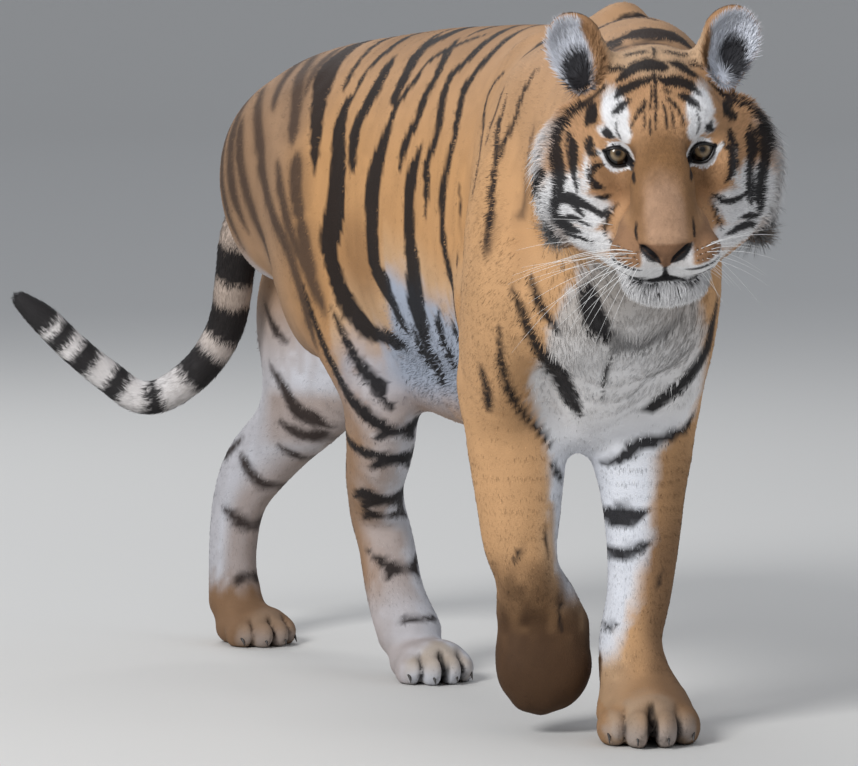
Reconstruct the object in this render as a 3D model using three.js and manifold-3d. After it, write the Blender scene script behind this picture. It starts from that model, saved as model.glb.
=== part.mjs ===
// A walking tiger at life size, as a still museum model. Millimetres, +Z up, heading along -Y.
// The whole animal is one smooth body of muscle masses and limb sections. It is skinned node by node
// and parted with thin flat cuts, so that neighbouring nodes meet face to face. Three feet stand flat
// on the floor at Z = 0 and the right forepaw is lifted.
//
// Body places are [side, along, height]: side is the distance to the tiger's left of its spine, along
// runs back from the withers to the tail, height is above the floor. The spine bends evenly to the
// right, so a body place is bent into the world by bentPoint. Head places are measured from a point
// just above midway between the eyes, with the skull level: [left, back, up].
import * as THREE from "three";
import { LoftGeometry } from "three/addons/geometries/LoftGeometry.js";
import { mergeVertices } from "three/addons/utils/BufferGeometryUtils.js";
import Module from "manifold-3d";

const wasm = await Module();
wasm.setup();

// ---------------------------------------------------------------- driving dimensions
const GAP = 0.3; // between nodes that touch
const SPINE_BEND = 0.45e-3; // radians of turn for each millimetre of spine
const HEAD_PLACE = [20, -500, 806]; // where head places are measured from, as a body place
const HEAD_TURN = -13.6; // degrees to the tiger's right of the withers' heading
const HEAD_DROP = 13; // degrees nose down
const HEAD_TILT = 2.7; // degrees, left eye raised
const EYE_SPACING = 106;
const EYE_LEVEL = -4; // up, as a head place
const EYE_RADIUS = 18.5;
const LID_WIDTH = 35;
const LID_RISE = 11;
const LID_FALL = 11;
const LID_SLANT = 20; // degrees, the inner corner lower
const LID_THICKNESS = 3.5;
const MOUTH = [
  // the line of the lips from under the nose to the corner: out, up, half the groove's width
  [0, -112, 2],
  [2, -130, 4],
  [24, -138, 5],
  [46, -133, 5],
  [64, -119, 4],
  [74, -106, 2],
];
const NOSTRIL = [8, 12, 5]; // half sizes
const NOSTRIL_PLACE = [17, -91]; // out, up
const NOSTRIL_TURN = 28; // degrees, splayed outwards
const RUFF_ROWS = [
  // how far back on the head, how many locks, from and to degrees below level, length
  { back: 46, count: 6, from: -4, to: 62, length: 46 },
  { back: 86, count: 6, from: -14, to: 74, length: 54 },
];
const RUFF_DROOP = 6;
const RUFF_SWEEP = [0.3, 0.75, -0.42]; // how much a lock runs outwards, back and up
const RUFF_LOCK = [
  // share of the length, width, thickness
  [0, 26, 12],
  [0.45, 25, 9],
  [1, 5, 3],
];
const LOCK_SIDES = 6;
const FAR = 1000; // stands for "well outside" in a distance
const HUGE = 4000; // a box this wide reaches past the whole animal

const COLOURS = { orange: "#c98a4b", amber: "#a8813c" };

// ---------------------------------------------------------------- frames
const vec = (place) => new THREE.Vector3(...place);

function bentPoint(p) {
  const turn = SPINE_BEND * p.y;
  const reach = 1 / SPINE_BEND + p.x;
  return new THREE.Vector3(reach * Math.cos(turn) - 1 / SPINE_BEND, reach * Math.sin(turn), p.z);
}

function straightPoint(p) {
  const x = p.x + 1 / SPINE_BEND;
  return new THREE.Vector3(Math.hypot(x, p.y) - 1 / SPINE_BEND, Math.atan2(p.y, x) / SPINE_BEND, p.z);
}

const radians = THREE.MathUtils.degToRad;
const headWay = new THREE.Euler(radians(HEAD_DROP), radians(-HEAD_TILT), radians(HEAD_TURN), "ZXY");
const headFrame = new THREE.Matrix4()
  .makeRotationFromEuler(headWay)
  .setPosition(bentPoint(vec(HEAD_PLACE)));
const headFrameBack = headFrame.clone().invert();

// ---------------------------------------------------------------- distance functions
// Each shape is { blend, box, distance(point) } in its own frame; the distance is negative inside.
function roundDistance(x, y, z, w, d, e) {
  const near = Math.hypot(x / w, y / d, z / e);
  const steep = Math.hypot(x / (w * w), y / (d * d), z / (e * e));
  return steep < 1e-9 ? -Math.min(w, d, e) : (near * (near - 1)) / steep;
}

const NO_TURN = new THREE.Quaternion();
const turned = (x, y, z) =>
  new THREE.Quaternion().setFromEuler(new THREE.Euler(radians(x), radians(y), radians(z), "YZX"));

// An ellipsoid of muscle.
function mass(centre, radii, turn = NO_TURN, blend = 30) {
  const back = turn.clone().invert();
  const at = vec(centre);
  const reach = Math.max(...radii);
  const q = new THREE.Vector3();
  const box = new THREE.Box3(at.clone().subScalar(reach), at.clone().addScalar(reach));
  return {
    blend,
    box,
    distance(p) {
      q.copy(p).sub(at).applyQuaternion(back);
      return roundDistance(q.x, q.y, q.z, ...radii);
    },
  };
}

const curve = (points) => new THREE.CatmullRomCurve3(points, false, "catmullrom");
const LIMB_STEPS = 4; // straight pieces between two stations of a limb

// A limb: stations of [side, along, height, half width, half depth], joined by a smooth curve.
function limb(stations, blend = 30) {
  const path = curve(stations.map(([x, y, z]) => new THREE.Vector3(x, y, z)));
  const size = curve(stations.map(([, , , w, d]) => new THREE.Vector3(w, d, 0)));
  const count = (stations.length - 1) * LIMB_STEPS;
  const knots = Array.from({ length: count + 1 }, (_, i) => ({
    at: path.getPoint(i / count),
    size: size.getPoint(i / count),
  }));
  const box = new THREE.Box3();
  for (const { at, size: s } of knots) {
    const reach = Math.max(s.x, s.y);
    box.expandByPoint(at.clone().subScalar(reach));
    box.expandByPoint(at.clone().addScalar(reach));
  }
  const pieces = knots.slice(1).map((next, i) => {
    const a = knots[i];
    const axis = next.at.clone().sub(a.at);
    const length = axis.length();
    axis.normalize();
    const across = new THREE.Vector3(1, 0, 0).addScaledVector(axis, -axis.x).normalize();
    return { a, b: next, axis, length, across, deep: axis.clone().cross(across) };
  });
  const q = new THREE.Vector3();
  return {
    blend,
    box,
    distance(p) {
      let best = FAR;
      for (const { a, b, axis, length, across, deep } of pieces) {
        q.copy(p).sub(a.at);
        const t = THREE.MathUtils.clamp(q.dot(axis) / length, 0, 1);
        const past = q.dot(axis) - t * length;
        const w = a.size.x + (b.size.x - a.size.x) * t;
        const d = a.size.y + (b.size.y - a.size.y) * t;
        best = Math.min(best, roundDistance(q.dot(across), q.dot(deep), past, w, d, Math.min(w, d)));
      }
      return best;
    },
  };
}

function smoothMin(a, b, k) {
  const h = Math.max(k - Math.abs(a - b), 0);
  return Math.min(a, b) - (h * h) / (4 * k);
}

const CULL = 120; // a shape further away than this from a point doesn't shape it

function joined(shapes, dents = []) {
  return (p) => {
    let f = FAR;
    for (const s of shapes) {
      if (s.box.distanceToPoint(p) > CULL) continue;
      f = smoothMin(f, s.distance(p), s.blend);
    }
    for (const s of dents) {
      if (s.box.distanceToPoint(p) > CULL) continue;
      f = -smoothMin(-f, s.distance(p), s.blend);
    }
    return f;
  };
}

// ---------------------------------------------------------------- anatomy
const trunk = limb(
  [
    [0, -215, 690, 90, 124],
    [0, -130, 668, 120, 204],
    [0, -40, 662, 132, 264],
    [0, 80, 666, 150, 286],
    [0, 210, 667, 163, 287],
    [0, 350, 668, 172, 282],
    [0, 480, 675, 168, 271],
    [0, 600, 690, 156, 248],
    [0, 720, 710, 150, 216],
    [0, 830, 724, 140, 180],
    [0, 905, 729, 118, 139],
  ],
  40,
);

const neckLimb = limb(
  [
    [0, -20, 745, 124, 200],
    [4, -150, 766, 130, 188],
    [10, -280, 776, 124, 164],
    [16, -390, 784, 108, 134],
  ],
  50,
);

// The shoulder blade and upper arm, down to the elbow, from the same kind of stations as a limb.
const shoulderLeft = [
  limb([
    [64, 40, 926, 50, 72],
    [88, -20, 856, 52, 98],
    [104, -70, 740, 58, 106],
    [108, -100, 630, 58, 104],
    [106, -66, 540, 60, 94],
    [98, -14, 462, 64, 78],
  ], 36),
  mass([78, -110, 886], [62, 110, 62], NO_TURN, 40), // trapezius
  mass([46, -170, 900], [58, 130, 62], NO_TURN, 50), // and its front, towards the nape
  mass([100, 20, 570], [44, 95, 92], turned(-20, 0, 0), 40), // triceps
  mass([58, -180, 590], [62, 62, 90], NO_TURN, 40), // pectoral
];
const shoulderRight = [
  limb([
    [-54, 60, 896, 28, 62],
    [-88, 0, 800, 46, 92],
    [-118, -70, 710, 56, 106],
    [-130, -112, 620, 58, 104],
    [-126, -70, 535, 58, 94],
    [-116, -14, 462, 54, 76],
  ], 36),
  mass([-62, -110, 862], [56, 110, 60], NO_TURN, 40),
  mass([-118, 20, 565], [44, 95, 92], turned(-20, 0, 0), 40),
  mass([-62, -185, 590], [62, 62, 90], NO_TURN, 40),
];

const foreLegLeft = limb([
  [94, -10, 470, 66, 78],
  [80, -24, 400, 74, 70],
  [77, -40, 330, 61, 55],
  [74, -52, 260, 52, 47],
  [66, -62, 190, 46, 43],
  [52, -72, 130, 45, 43],
  [53, -92, 85, 50, 44],
  [60, -104, 50, 58, 46],
], 24);

const foreLegRight = limb([
  [-118, -12, 470, 54, 74],
  [-94, -12, 405, 70, 66],
  [-92, -28, 310, 60, 52],
  [-93, -38, 262, 53, 46],
  [-84, -44, 218, 47, 44],
  [-68, -30, 175, 58, 38],
  [-54, -16, 140, 62, 34],
], 24);

const hindLegRight = [
  limb([
    [-62, 775, 800, 66, 110],
    [-88, 715, 700, 80, 150],
    [-98, 640, 600, 78, 140],
    [-100, 575, 510, 66, 106],
    [-94, 540, 430, 56, 80],
    [-78, 568, 350, 50, 64],
    [-60, 618, 290, 44, 54],
    [-32, 660, 238, 42, 50],
    [-22, 653, 190, 43, 45],
    [-22, 626, 120, 45, 44],
    [-14, 598, 64, 50, 44],
  ], 30),
  mass([-68, 880, 700], [72, 98, 132], NO_TURN, 50), // buttock
  mass([-78, 728, 545], [52, 94, 92], NO_TURN, 50), // hamstring
];

const hindLegLeft = [
  limb([
    [66, 800, 800, 66, 110],
    [88, 810, 700, 80, 152],
    [98, 845, 600, 76, 142],
    [98, 890, 510, 66, 122],
    [90, 940, 440, 58, 100],
    [80, 985, 375, 50, 80],
    [66, 1040, 315, 45, 62],
    [50, 1092, 258, 40, 58],
    [32, 1108, 200, 38, 47],
    [12, 1098, 125, 37, 41],
    [2, 1080, 64, 42, 42],
  ], 30),
  mass([68, 885, 700], [70, 98, 130], NO_TURN, 50),
  mass([72, 1004, 492], [50, 96, 140], NO_TURN, 50),
];

// A paw: the foot's body, its heel pad and four toes fanned out in front. Places are [out, back, up]
// from its centre on the ground. droop points the toes down and lean swings them sideways.
const TOE_SPREAD = [-43, -16, 15, 42];
const TOE_REACH = [-38, -58, -56, -34];

function paw(place, { size = 1, turn = 0, droop = 0, lean = 0, toeBlend = 9 }) {
  const way = turned(droop, lean, turn);
  const frame = new THREE.Matrix4().compose(vec(place), way, new THREE.Vector3(size, size, size));
  const put = (at) => vec(at).applyMatrix4(frame).toArray();
  const sized = (radii) => radii.map((r) => r * size);
  const tipped = (x, z) => way.clone().multiply(turned(x, 0, z));
  const toes = TOE_SPREAD.map((x, i) =>
    mass(put([x, TOE_REACH[i], 24]), sized([19, 33, 25]), tipped(-8, -x * 0.28), toeBlend),
  );
  return [
    mass(put([0, -6, 36]), sized([56, 58, 32]), tipped(-12, 0), 26),
    mass(put([0, 22, 22]), sized([46, 42, 24]), way, 22),
    ...toes,
  ];
}

const paws = [
  paw([62, -118, -4], { size: 1.14, turn: -6 }),
  paw([-50, 2, 108], { turn: -4, droop: 76, lean: 19, toeBlend: 18 }),
  paw([-12, 545, -4], { size: 0.96, turn: -8 }),
  paw([6, 1045, -4], { size: 0.92, turn: -10 }),
].flat();

const TAIL = [
  // side, along, height, radius
  [0, 910, 812, 52],
  [-6, 965, 760, 42],
  [-22, 990, 690, 36],
  [-44, 1008, 624, 34],
  [-34, 1036, 555, 33],
  [-24, 1068, 485, 32],
  [-42, 1100, 425, 31],
  [-77, 1140, 382, 30],
  [-112, 1170, 374, 29],
  [-147, 1200, 403, 28],
  [-193, 1230, 447, 27],
  [-230, 1260, 492, 26],
  [-256, 1282, 520, 19],
];

const bodyFlesh = joined([
  trunk,
  neckLimb,
  ...shoulderLeft,
  ...shoulderRight,
  foreLegLeft,
  foreLegRight,
  ...hindLegRight,
  ...hindLegLeft,
  ...paws,
  limb(TAIL.slice(0, 2).map(([x, y, z, r]) => [x, y, z, r, r]), 34),
  mass([0, 330, 440], [105, 230, 56], NO_TURN, 40), // belly
  mass([0, -225, 640], [80, 60, 100], NO_TURN, 40), // breast
  mass([-4, -10, 428], [62, 70, 46], NO_TURN, 36), // breastbone
]);

const both = (make) => [make(1), make(-1)].flat();
const headShapes = [
  mass([0, 92, 18], [90, 108, 92], NO_TURN, 30), // cranium
  mass([0, 34, 26], [72, 60, 54], NO_TURN, 30), // brow
  // nose
  limb([
    [0, 20, 22, 46, 40],
    [0, -50, -16, 44, 40],
    [0, -104, -56, 38, 34],
    [0, -129, -82, 35, 27],
  ], 20),
  mass([0, -62, -94], [60, 76, 50], NO_TURN, 26), // muzzle
  // lower jaw
  limb([
    [0, -88, -151, 48, 25],
    [0, -50, -146, 56, 34],
    [0, 30, -122, 78, 48],
  ], 22),
  ...both((s) => [
    mass([46 * s, 9, 36], [34, 22, 20], turned(0, 0, 18 * s), 30), // brow ridge
    mass([35 * s, -98, -106], [36, 46, 31], NO_TURN, 10), // whisker pad
    mass([74 * s, 34, -36], [44, 66, 54], NO_TURN, 34), // cheekbone
    mass([68 * s, 46, -98], [44, 72, 56], NO_TURN, 34), // jaw muscle
    mass([106 * s, 64, -46], [50, 48, 98], turned(0, 0, -10 * s), 30), // ruff
    mass([84 * s, 98, 84], [38, 30, 42], turned(0, 25 * s, 0), 26), // ear base
    mass([98 * s, 104, 111], [39, 23, 46], turned(-8, 18 * s, 0), 12), // ear
  ]),
];
const headDents = both((s) => [
  mass([54 * s, -36, -8], [23, 22, 16], NO_TURN, 24), // eye socket
  mass([101 * s, 82, 109], [30, 23, 38], turned(-8, 18 * s, 0), 6), // ear cup
]);
const headFlesh = joined(headShapes, headDents);

// The whole animal, as a distance from a world point.
const headPoint = new THREE.Vector3();
function flesh(p) {
  headPoint.copy(p).applyMatrix4(headFrameBack);
  return smoothMin(bodyFlesh(straightPoint(p)), headFlesh(headPoint), 36);
}

// ---------------------------------------------------------------- skinning
// Covers the surface where distance(place) is zero, inside a box, with four-sided cells split in triangles.
// place is the point in a frame of the caller's, and toWorld takes it to the world.
const CORNERS = [0, 1, 2, 3, 4, 5, 6, 7].map((i) => [i & 1, (i >> 1) & 1, (i >> 2) & 1]);
const EDGES = [];
CORNERS.forEach((c, i) =>
  [0, 1, 2].forEach((axis) => {
    if (c[axis] === 0) EDGES.push({ axis, from: i, to: i + (1 << axis) });
  }),
);
const FACES = [0, 1, 2].flatMap((axis) =>
  [0, 1].map((level) => {
    const inFace = (i) => CORNERS[i][axis] === level;
    return EDGES.map((e, n) => n).filter((n) => inFace(EDGES[n].from) && inFace(EDGES[n].to));
  }),
);

// Groups a cell's crossed edges into the loops in which the surface passes through it.
function loopsOf(inside) {
  const crossed = EDGES.map(({ from, to }) => inside[from] !== inside[to]);
  const group = EDGES.map((_, i) => i);
  const root = (i) => (group[i] === i ? i : root(group[i]));
  for (const face of FACES) {
    const hit = face.filter((n) => crossed[n]);
    if (hit.length === 2) group[root(hit[0])] = root(hit[1]);
    if (hit.length === 4) {
      for (const corner of CORNERS.keys()) {
        const own = hit.filter((n) => EDGES[n].from === corner || EDGES[n].to === corner);
        if (inside[corner] && own.length === 2) group[root(own[0])] = root(own[1]);
      }
    }
  }
  return EDGES.map((_, i) => (crossed[i] ? root(i) : -1));
}

const RIM = 10; // the grid's outermost points count as this far outside

// Grid lines from [[start, cell], [next start, cell], ... [end]].
function gridLines(spans) {
  return spans.slice(1).reduce((all, [end], i) => {
    const [start, cell] = spans[i];
    const count = Math.max(1, Math.round((end - start) / cell));
    for (let n = 1; n <= count; n++) all.push(start + ((end - start) * n) / count);
    return all;
  }, [spans[0][0]]);
}

function skin(distance, lines, toWorld) {
  const count = lines.map((l) => l.length - 1);
  const index = (i, j, k) => (k * (count[1] + 1) + j) * (count[0] + 1) + i;
  const value = new Float64Array((count[0] + 1) * (count[1] + 1) * (count[2] + 1));
  const place = (i, j, k) => new THREE.Vector3(lines[0][i], lines[1][j], lines[2][k]);
  const onRim = (i, j, k) => [i, j, k].some((v, axis) => v === 0 || v === count[axis]);
  for (let k = 0; k <= count[2]; k++)
    for (let j = 0; j <= count[1]; j++)
      for (let i = 0; i <= count[0]; i++)
        value[index(i, j, k)] = onRim(i, j, k) ? RIM : distance(place(i, j, k));

  const points = [];
  const owner = new Map(); // "cell,edge" to the vertex that stands for that crossing
  const cellOf = (i, j, k) => (k * count[1] + j) * count[0] + i;
  for (let k = 0; k < count[2]; k++)
    for (let j = 0; j < count[1]; j++)
      for (let i = 0; i < count[0]; i++) {
        const step = [i, j, k].map((n, axis) => lines[axis][n + 1] - lines[axis][n]);
        const v = CORNERS.map(([a, b, c]) => value[index(i + a, j + b, k + c)]);
        const inside = v.map((x) => x < 0);
        if (inside.every((x) => x === inside[0])) continue;
        const loops = loopsOf(inside);
        for (const loop of new Set(loops.filter((x) => x >= 0))) {
          const own = [...loops.keys()].filter((n) => loops[n] === loop);
          const mean = new THREE.Vector3();
          for (const n of own) {
            const { axis, from, to } = EDGES[n];
            const c = CORNERS[from];
            const at = place(i + c[0], j + c[1], k + c[2]);
            at.setComponent(axis, at.getComponent(axis) + (step[axis] * v[from]) / (v[from] - v[to]));
            mean.add(at);
            owner.set(cellOf(i, j, k) * 12 + n, points.length);
          }
          mean.divideScalar(own.length);
          const rim = [i, j, k].some((x, axis) => x === 0 || x === count[axis] - 1);
          points.push(rim ? mean : settled(distance, mean, step));
        }
      }

  const faces = [];
  const sameCorner = (corner, offset, axis) => corner.every((c, n) => n === axis || c === offset[n]);
  const edgeNumber = (axis, offset) =>
    EDGES.findIndex((e) => e.axis === axis && sameCorner(CORNERS[e.from], offset, axis));
  for (const axis of [0, 1, 2]) {
    const [u, w] = [(axis + 1) % 3, (axis + 2) % 3];
    const around = [[1, 1], [0, 1], [0, 0], [1, 0]].map(([a, b]) => {
      const offset = [0, 0, 0];
      offset[u] = a;
      offset[w] = b;
      return { offset, edge: edgeNumber(axis, offset) };
    });
    for (let k = 0; k <= count[2]; k++)
      for (let j = 0; j <= count[1]; j++)
        for (let i = 0; i <= count[0]; i++) {
          const at = [i, j, k];
          if (at[axis] === count[axis] || [u, w].some((x) => at[x] === 0 || at[x] === count[x])) continue;
          const ahead = [...at];
          ahead[axis] += 1;
          const a = value[index(...at)] < 0;
          const b = value[index(...ahead)] < 0;
          if (a === b) continue;
          const ring = around.map(({ offset, edge }) =>
            owner.get(cellOf(...at.map((x, n) => x - offset[n])) * 12 + edge),
          );
          if (!a) ring.reverse();
          const [p, q, r, s] = ring.map((n) => points[n]);
          if (p.distanceToSquared(r) <= q.distanceToSquared(s))
            faces.push(ring[0], ring[1], ring[2], ring[0], ring[2], ring[3]);
          else faces.push(ring[1], ring[2], ring[3], ring[1], ring[3], ring[0]);
        }
  }
  const geometry = new THREE.BufferGeometry().setFromPoints(points.map(toWorld));
  geometry.setIndex(faces);
  return geometry;
}

// Moves a point onto the surface, by at most a cell's size.
function settled(distance, start, step) {
  const p = start.clone();
  const slope = new THREE.Vector3();
  const most = Math.min(...step) * 0.7;
  for (let pass = 0; pass < 3; pass++) {
    const f = distance(p);
    for (const axis of ["x", "y", "z"]) {
      const q = p.clone();
      q[axis] += 0.5;
      slope[axis] = (distance(q) - f) / 0.5;
    }
    const steep = Math.max(slope.lengthSq(), 0.1);
    p.addScaledVector(slope, THREE.MathUtils.clamp(-f / steep, -most, most));
  }
  return start.distanceTo(p) < most * 1.5 ? p : start;
}

// ---------------------------------------------------------------- solids
// A closed mesh as a manifold solid, turned inside out first if it faces inwards.
function solid(geometry) {
  const bare = new THREE.BufferGeometry()
    .setAttribute("position", geometry.attributes.position)
    .setIndex(geometry.index);
  const merged = mergeVertices(bare, 1e-4);
  const vertProperties = merged.attributes.position.array;
  const made = (order) =>
    new wasm.Manifold(new wasm.Mesh({ numProp: 3, vertProperties, triVerts: new Uint32Array(order) }));
  const order = [...merged.index.array];
  const first = made(order);
  return first.volume() > 0 ? first : made(order.reverse());
}

function largest(made) {
  const bodies = made.decompose();
  return bodies.reduce((a, b) => (b.volume() > a.volume() ? b : a));
}

function geometryOf(made) {
  const mesh = made.getMesh();
  const places = new Float32Array(mesh.numVert * 3);
  for (let i = 0; i < mesh.numVert; i++)
    places.set(mesh.vertProperties.subarray(i * mesh.numProp, i * mesh.numProp + 3), i * 3);
  return new THREE.BufferGeometry()
    .setAttribute("position", new THREE.BufferAttribute(places, 3))
    .setIndex(new THREE.BufferAttribute(new Uint32Array(mesh.triVerts), 1));
}

// Half of space: what lies behind a flat that passes through a world point and faces outward.
function behind(point, outward) {
  const up = new THREE.Vector3(0, 0, 1);
  const turn = new THREE.Quaternion().setFromUnitVectors(up, outward.clone().normalize());
  const box = new THREE.BoxGeometry(HUGE, HUGE, HUGE).translate(0, 0, -HUGE / 2);
  return solid(box.applyQuaternion(turn).translate(point.x, point.y, point.z));
}

// A thin cut: the halves of space on either side of a flat, each held half the gap away from it, and
// all that the inner half leaves.
function thinCut(point, outward) {
  const half = outward.clone().setLength(GAP / 2);
  const back = outward.clone().negate();
  return {
    inner: behind(point.clone().sub(half), outward),
    outer: behind(point.clone().add(half), back),
    rest: behind(point.clone().sub(half), back),
  };
}

function bodyCut(place, outward) {
  const turn = SPINE_BEND * place[1];
  return thinCut(bentPoint(vec(place)), vec(outward).applyAxisAngle(new THREE.Vector3(0, 0, 1), turn));
}

const headCut = (place, outward) =>
  thinCut(vec(place).applyMatrix4(headFrame), vec(outward).transformDirection(headFrame));
const aboveFloor = behind(new THREE.Vector3(), new THREE.Vector3(0, 0, -1));

const inBody = (p) => flesh(bentPoint(p));
const inHead = (p) => flesh(p.clone().applyMatrix4(headFrame));
const headToWorld = (p) => p.clone().applyMatrix4(headFrame);

const cuts = {
  neck: bodyCut([0, -172, 775], [0, -0.8, 0.6]),
  head: headCut([0, 150, 0], [0, 1, -0.15]),
  elbow: bodyCut([0, -20, 368], [0, 0, -1]),
  wristLeft: bodyCut([60, -66, 150], [0, -0.25, -0.97]),
  wristRight: bodyCut([-86, -44, 214], [0.25, 0.1, -0.97]),
  groin: bodyCut([0, 700, 470], [0, 0.42, -0.9]),
  kneeLeft: bodyCut([78, 990, 375], [0, 0.8, -0.6]),
  kneeRight: bodyCut([-74, 572, 350], [0, 0.5, -0.86]),
  hockLeft: bodyCut([32, 1110, 200], [0, -0.2, -0.98]),
  hockRight: bodyCut([-24, 655, 190], [0, -0.3, -0.95]),
};

const cutAll = (made, ...keep) => keep.reduce((m, k) => m.intersect(k), made);

// ---------------------------------------------------------------- tail
const TAIL_CUTS = [1 / 12, 0.36, 0.58, 0.8, 1];
const TAIL_SIDES = 12;
const TAIL_RINGS = 30;
const tailPath = curve(TAIL.map(([x, y, z]) => bentPoint(new THREE.Vector3(x, y, z))));
const tailSize = curve(TAIL.map(([, , , r]) => new THREE.Vector3(r, 0, 0)));

// An oval of points, and a round ring of them about a path.
function oval(centre, across, deep, width, depth, sides) {
  return Array.from({ length: sides }, (_, n) => {
    const a = (n / sides) * 2 * Math.PI;
    const out = across.clone().multiplyScalar(width * Math.cos(a));
    return centre.clone().add(out).addScaledVector(deep, depth * Math.sin(a));
  });
}

function ring(path, t, radius, sides, forward = 0) {
  const way = path.getTangent(t).normalize();
  const across = new THREE.Vector3(0, 0, 1).cross(way).normalize();
  const deep = way.clone().cross(across);
  const centre = path.getPoint(t).addScaledVector(way, forward);
  return oval(centre, across, deep, radius, radius, sides);
}

const loft = (rings) => solid(new LoftGeometry(rings, { closed: true, capStart: true, capEnd: true }));

// The tail from one share of its path to another, made thicker all round, and longer at the start, by
// the room asked.
function tailLength(from, to, room = 0) {
  const steps = Math.round((to - from) * TAIL_RINGS);
  const endGap = (i) => (i === 0 ? GAP / 2 - room : i === steps ? -GAP / 2 : 0);
  const rings = Array.from({ length: steps + 1 }, (_, i) => {
    const t = from + ((to - from) * i) / steps;
    return ring(tailPath, t, tailSize.getPoint(t).x + room, TAIL_SIDES, endGap(i));
  });
  if (to === 1) rings.push(ring(tailPath, 1, 12, TAIL_SIDES, 8), ring(tailPath, 1, 6, TAIL_SIDES, 13));
  return loft(rings);
}

const tailRoom = tailLength(TAIL_CUTS[0], TAIL_CUTS[1], GAP);

// ---------------------------------------------------------------- nodes
const tiger = new THREE.Group();
const material = (color, roughness) => new THREE.MeshStandardMaterial({ color, roughness, metalness: 0 });
const coat = material(COLOURS.orange, 0.9);

function addNode(name, made, finish = coat) {
  const mesh = new THREE.Mesh(geometryOf(largest(made)), finish);
  mesh.name = name;
  tiger.add(mesh);
}

const even = (low, high, cell) => low.map((start, k) => gridLines([[start, cell[k]], [high[k]]]));
const bodySkin = (low, high, cell) => solid(skin(inBody, even(low, high, cell), bentPoint));

// torso, with the shoulders and haunches
const torsoGrid = [
  gridLines([[-240, 42], [240]]),
  gridLines([[-340, 52], [1030]]),
  gridLines([[330, 30], [450, 46], [1010]]),
];
const torsoSkin = solid(skin(inBody, torsoGrid, bentPoint));
const foreZone = solid(new THREE.BoxGeometry(HUGE, 700, HUGE));
const legRoom = cuts.elbow.rest.intersect(foreZone).add(cuts.groin.rest.subtract(foreZone));
addNode("torso", torsoSkin.intersect(cuts.neck.inner).subtract(legRoom).subtract(tailRoom));

// neck and legs: each is the flesh inside a box, from its low to its high corner, between two cuts
const { neck, head, elbow, groin } = cuts;
const { wristLeft, wristRight, kneeLeft, kneeRight, hockLeft, hockRight } = cuts;
const CELL = { neck: [31, 32, 31], foreleg: [20, 20, 34], hindleg: [22, 24, 32], paw: [17, 17, 16] };

function addPart(name, cell, low, high, ...keep) {
  addNode(name, cutAll(bodySkin(low, high, cell), ...keep));
}

addPart("neck", CELL.neck, [-190, -520, 520], [190, -20, 1010], neck.outer, head.outer);
addPart("foreleg_left", CELL.foreleg, [0, -160, 90], [180, 90, 440], elbow.outer, wristLeft.inner);
addPart("forepaw_left", CELL.paw, [-20, -240, -20], [140, 10, 190], wristLeft.outer, aboveFloor);
addPart("foreleg_right", CELL.foreleg, [-200, -130, 150], [-20, 90, 440], elbow.outer, wristRight.inner);
addPart("forepaw_right", CELL.paw, [-160, -130, -20], [40, 70, 270], wristRight.outer, aboveFloor);
addPart("thigh_left", CELL.hindleg, [10, 740, 280], [190, 1120, 540], groin.outer, kneeLeft.inner);
addPart("shank_left", CELL.hindleg, [-30, 880, 150], [160, 1200, 460], kneeLeft.outer, hockLeft.inner);
addPart("hindfoot_left", CELL.paw, [-70, 940, -20], [110, 1190, 240], hockLeft.outer, aboveFloor);
addPart("thigh_right", CELL.hindleg, [-190, 420, 300], [-10, 740, 520], groin.outer, kneeRight.inner);
addPart("shank_right", CELL.hindleg, [-150, 480, 150], [30, 750, 420], kneeRight.outer, hockRight.inner);
addPart("hindfoot_right", CELL.paw, [-100, 440, -20], [70, 720, 240], hockRight.outer, aboveFloor);

// tail, in four lengths
TAIL_CUTS.slice(1).forEach((to, i) => addNode(`tail_${i + 1}`, tailLength(TAIL_CUTS[i], to)));

// head
const headGrid = [
  gridLines([[-190, 21], [-75, 15], [75, 21], [190]]),
  gridLines([[-190, 15], [0, 22], [200]]),
  gridLines([[-230, 17], [-130, 14.5], [60, 20], [170]]),
];
const EAR_ROOT = [86, 96, 84];
const EAR_CELL = [11, 10, 11];
const earCut = (side) => headCut([EAR_ROOT[0] * side, EAR_ROOT[1], EAR_ROOT[2]], [0.5 * side, 0.1, 0.86]);
const ears = { left: earCut(1), right: earCut(-1) };

// A ball at the eye, from the front: used for the eye, its socket and its lids.
const eyeBall = (side, radius) =>
  solid(
    new THREE.SphereGeometry(radius, 16, 8)
      .rotateX(Math.PI / 2)
      .translate((EYE_SPACING / 2) * side, 0, EYE_LEVEL)
      .applyMatrix4(headFrame),
  );

// The opening between the lids: two arcs that meet at the corners, the inner corner lower.
function lidOpening(side) {
  const almond = new THREE.Shape();
  almond.moveTo(-LID_WIDTH / 2, 0);
  almond.quadraticCurveTo(0, LID_RISE * 2, LID_WIDTH / 2, 0);
  almond.quadraticCurveTo(0, -LID_FALL * 2, -LID_WIDTH / 2, 0);
  const prism = new THREE.ExtrudeGeometry(almond, { depth: 60, bevelEnabled: false, curveSegments: 5 })
    .rotateX(Math.PI / 2)
    .rotateY(radians(-LID_SLANT * side))
    .translate((EYE_SPACING / 2) * side, 0, EYE_LEVEL);
  return solid(prism.applyMatrix4(headFrame));
}

// Where a line towards the head meets its surface.
function landed(start, way) {
  const p = start.clone();
  for (let n = 0; n < 60; n++) {
    p.addScaledVector(way, THREE.MathUtils.clamp(headFlesh(p), 0.1, 30) * 0.7);
  }
  return p;
}

const onFace = (x, z) => landed(new THREE.Vector3(x, -190, z), new THREE.Vector3(0, 1, 0));

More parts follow.
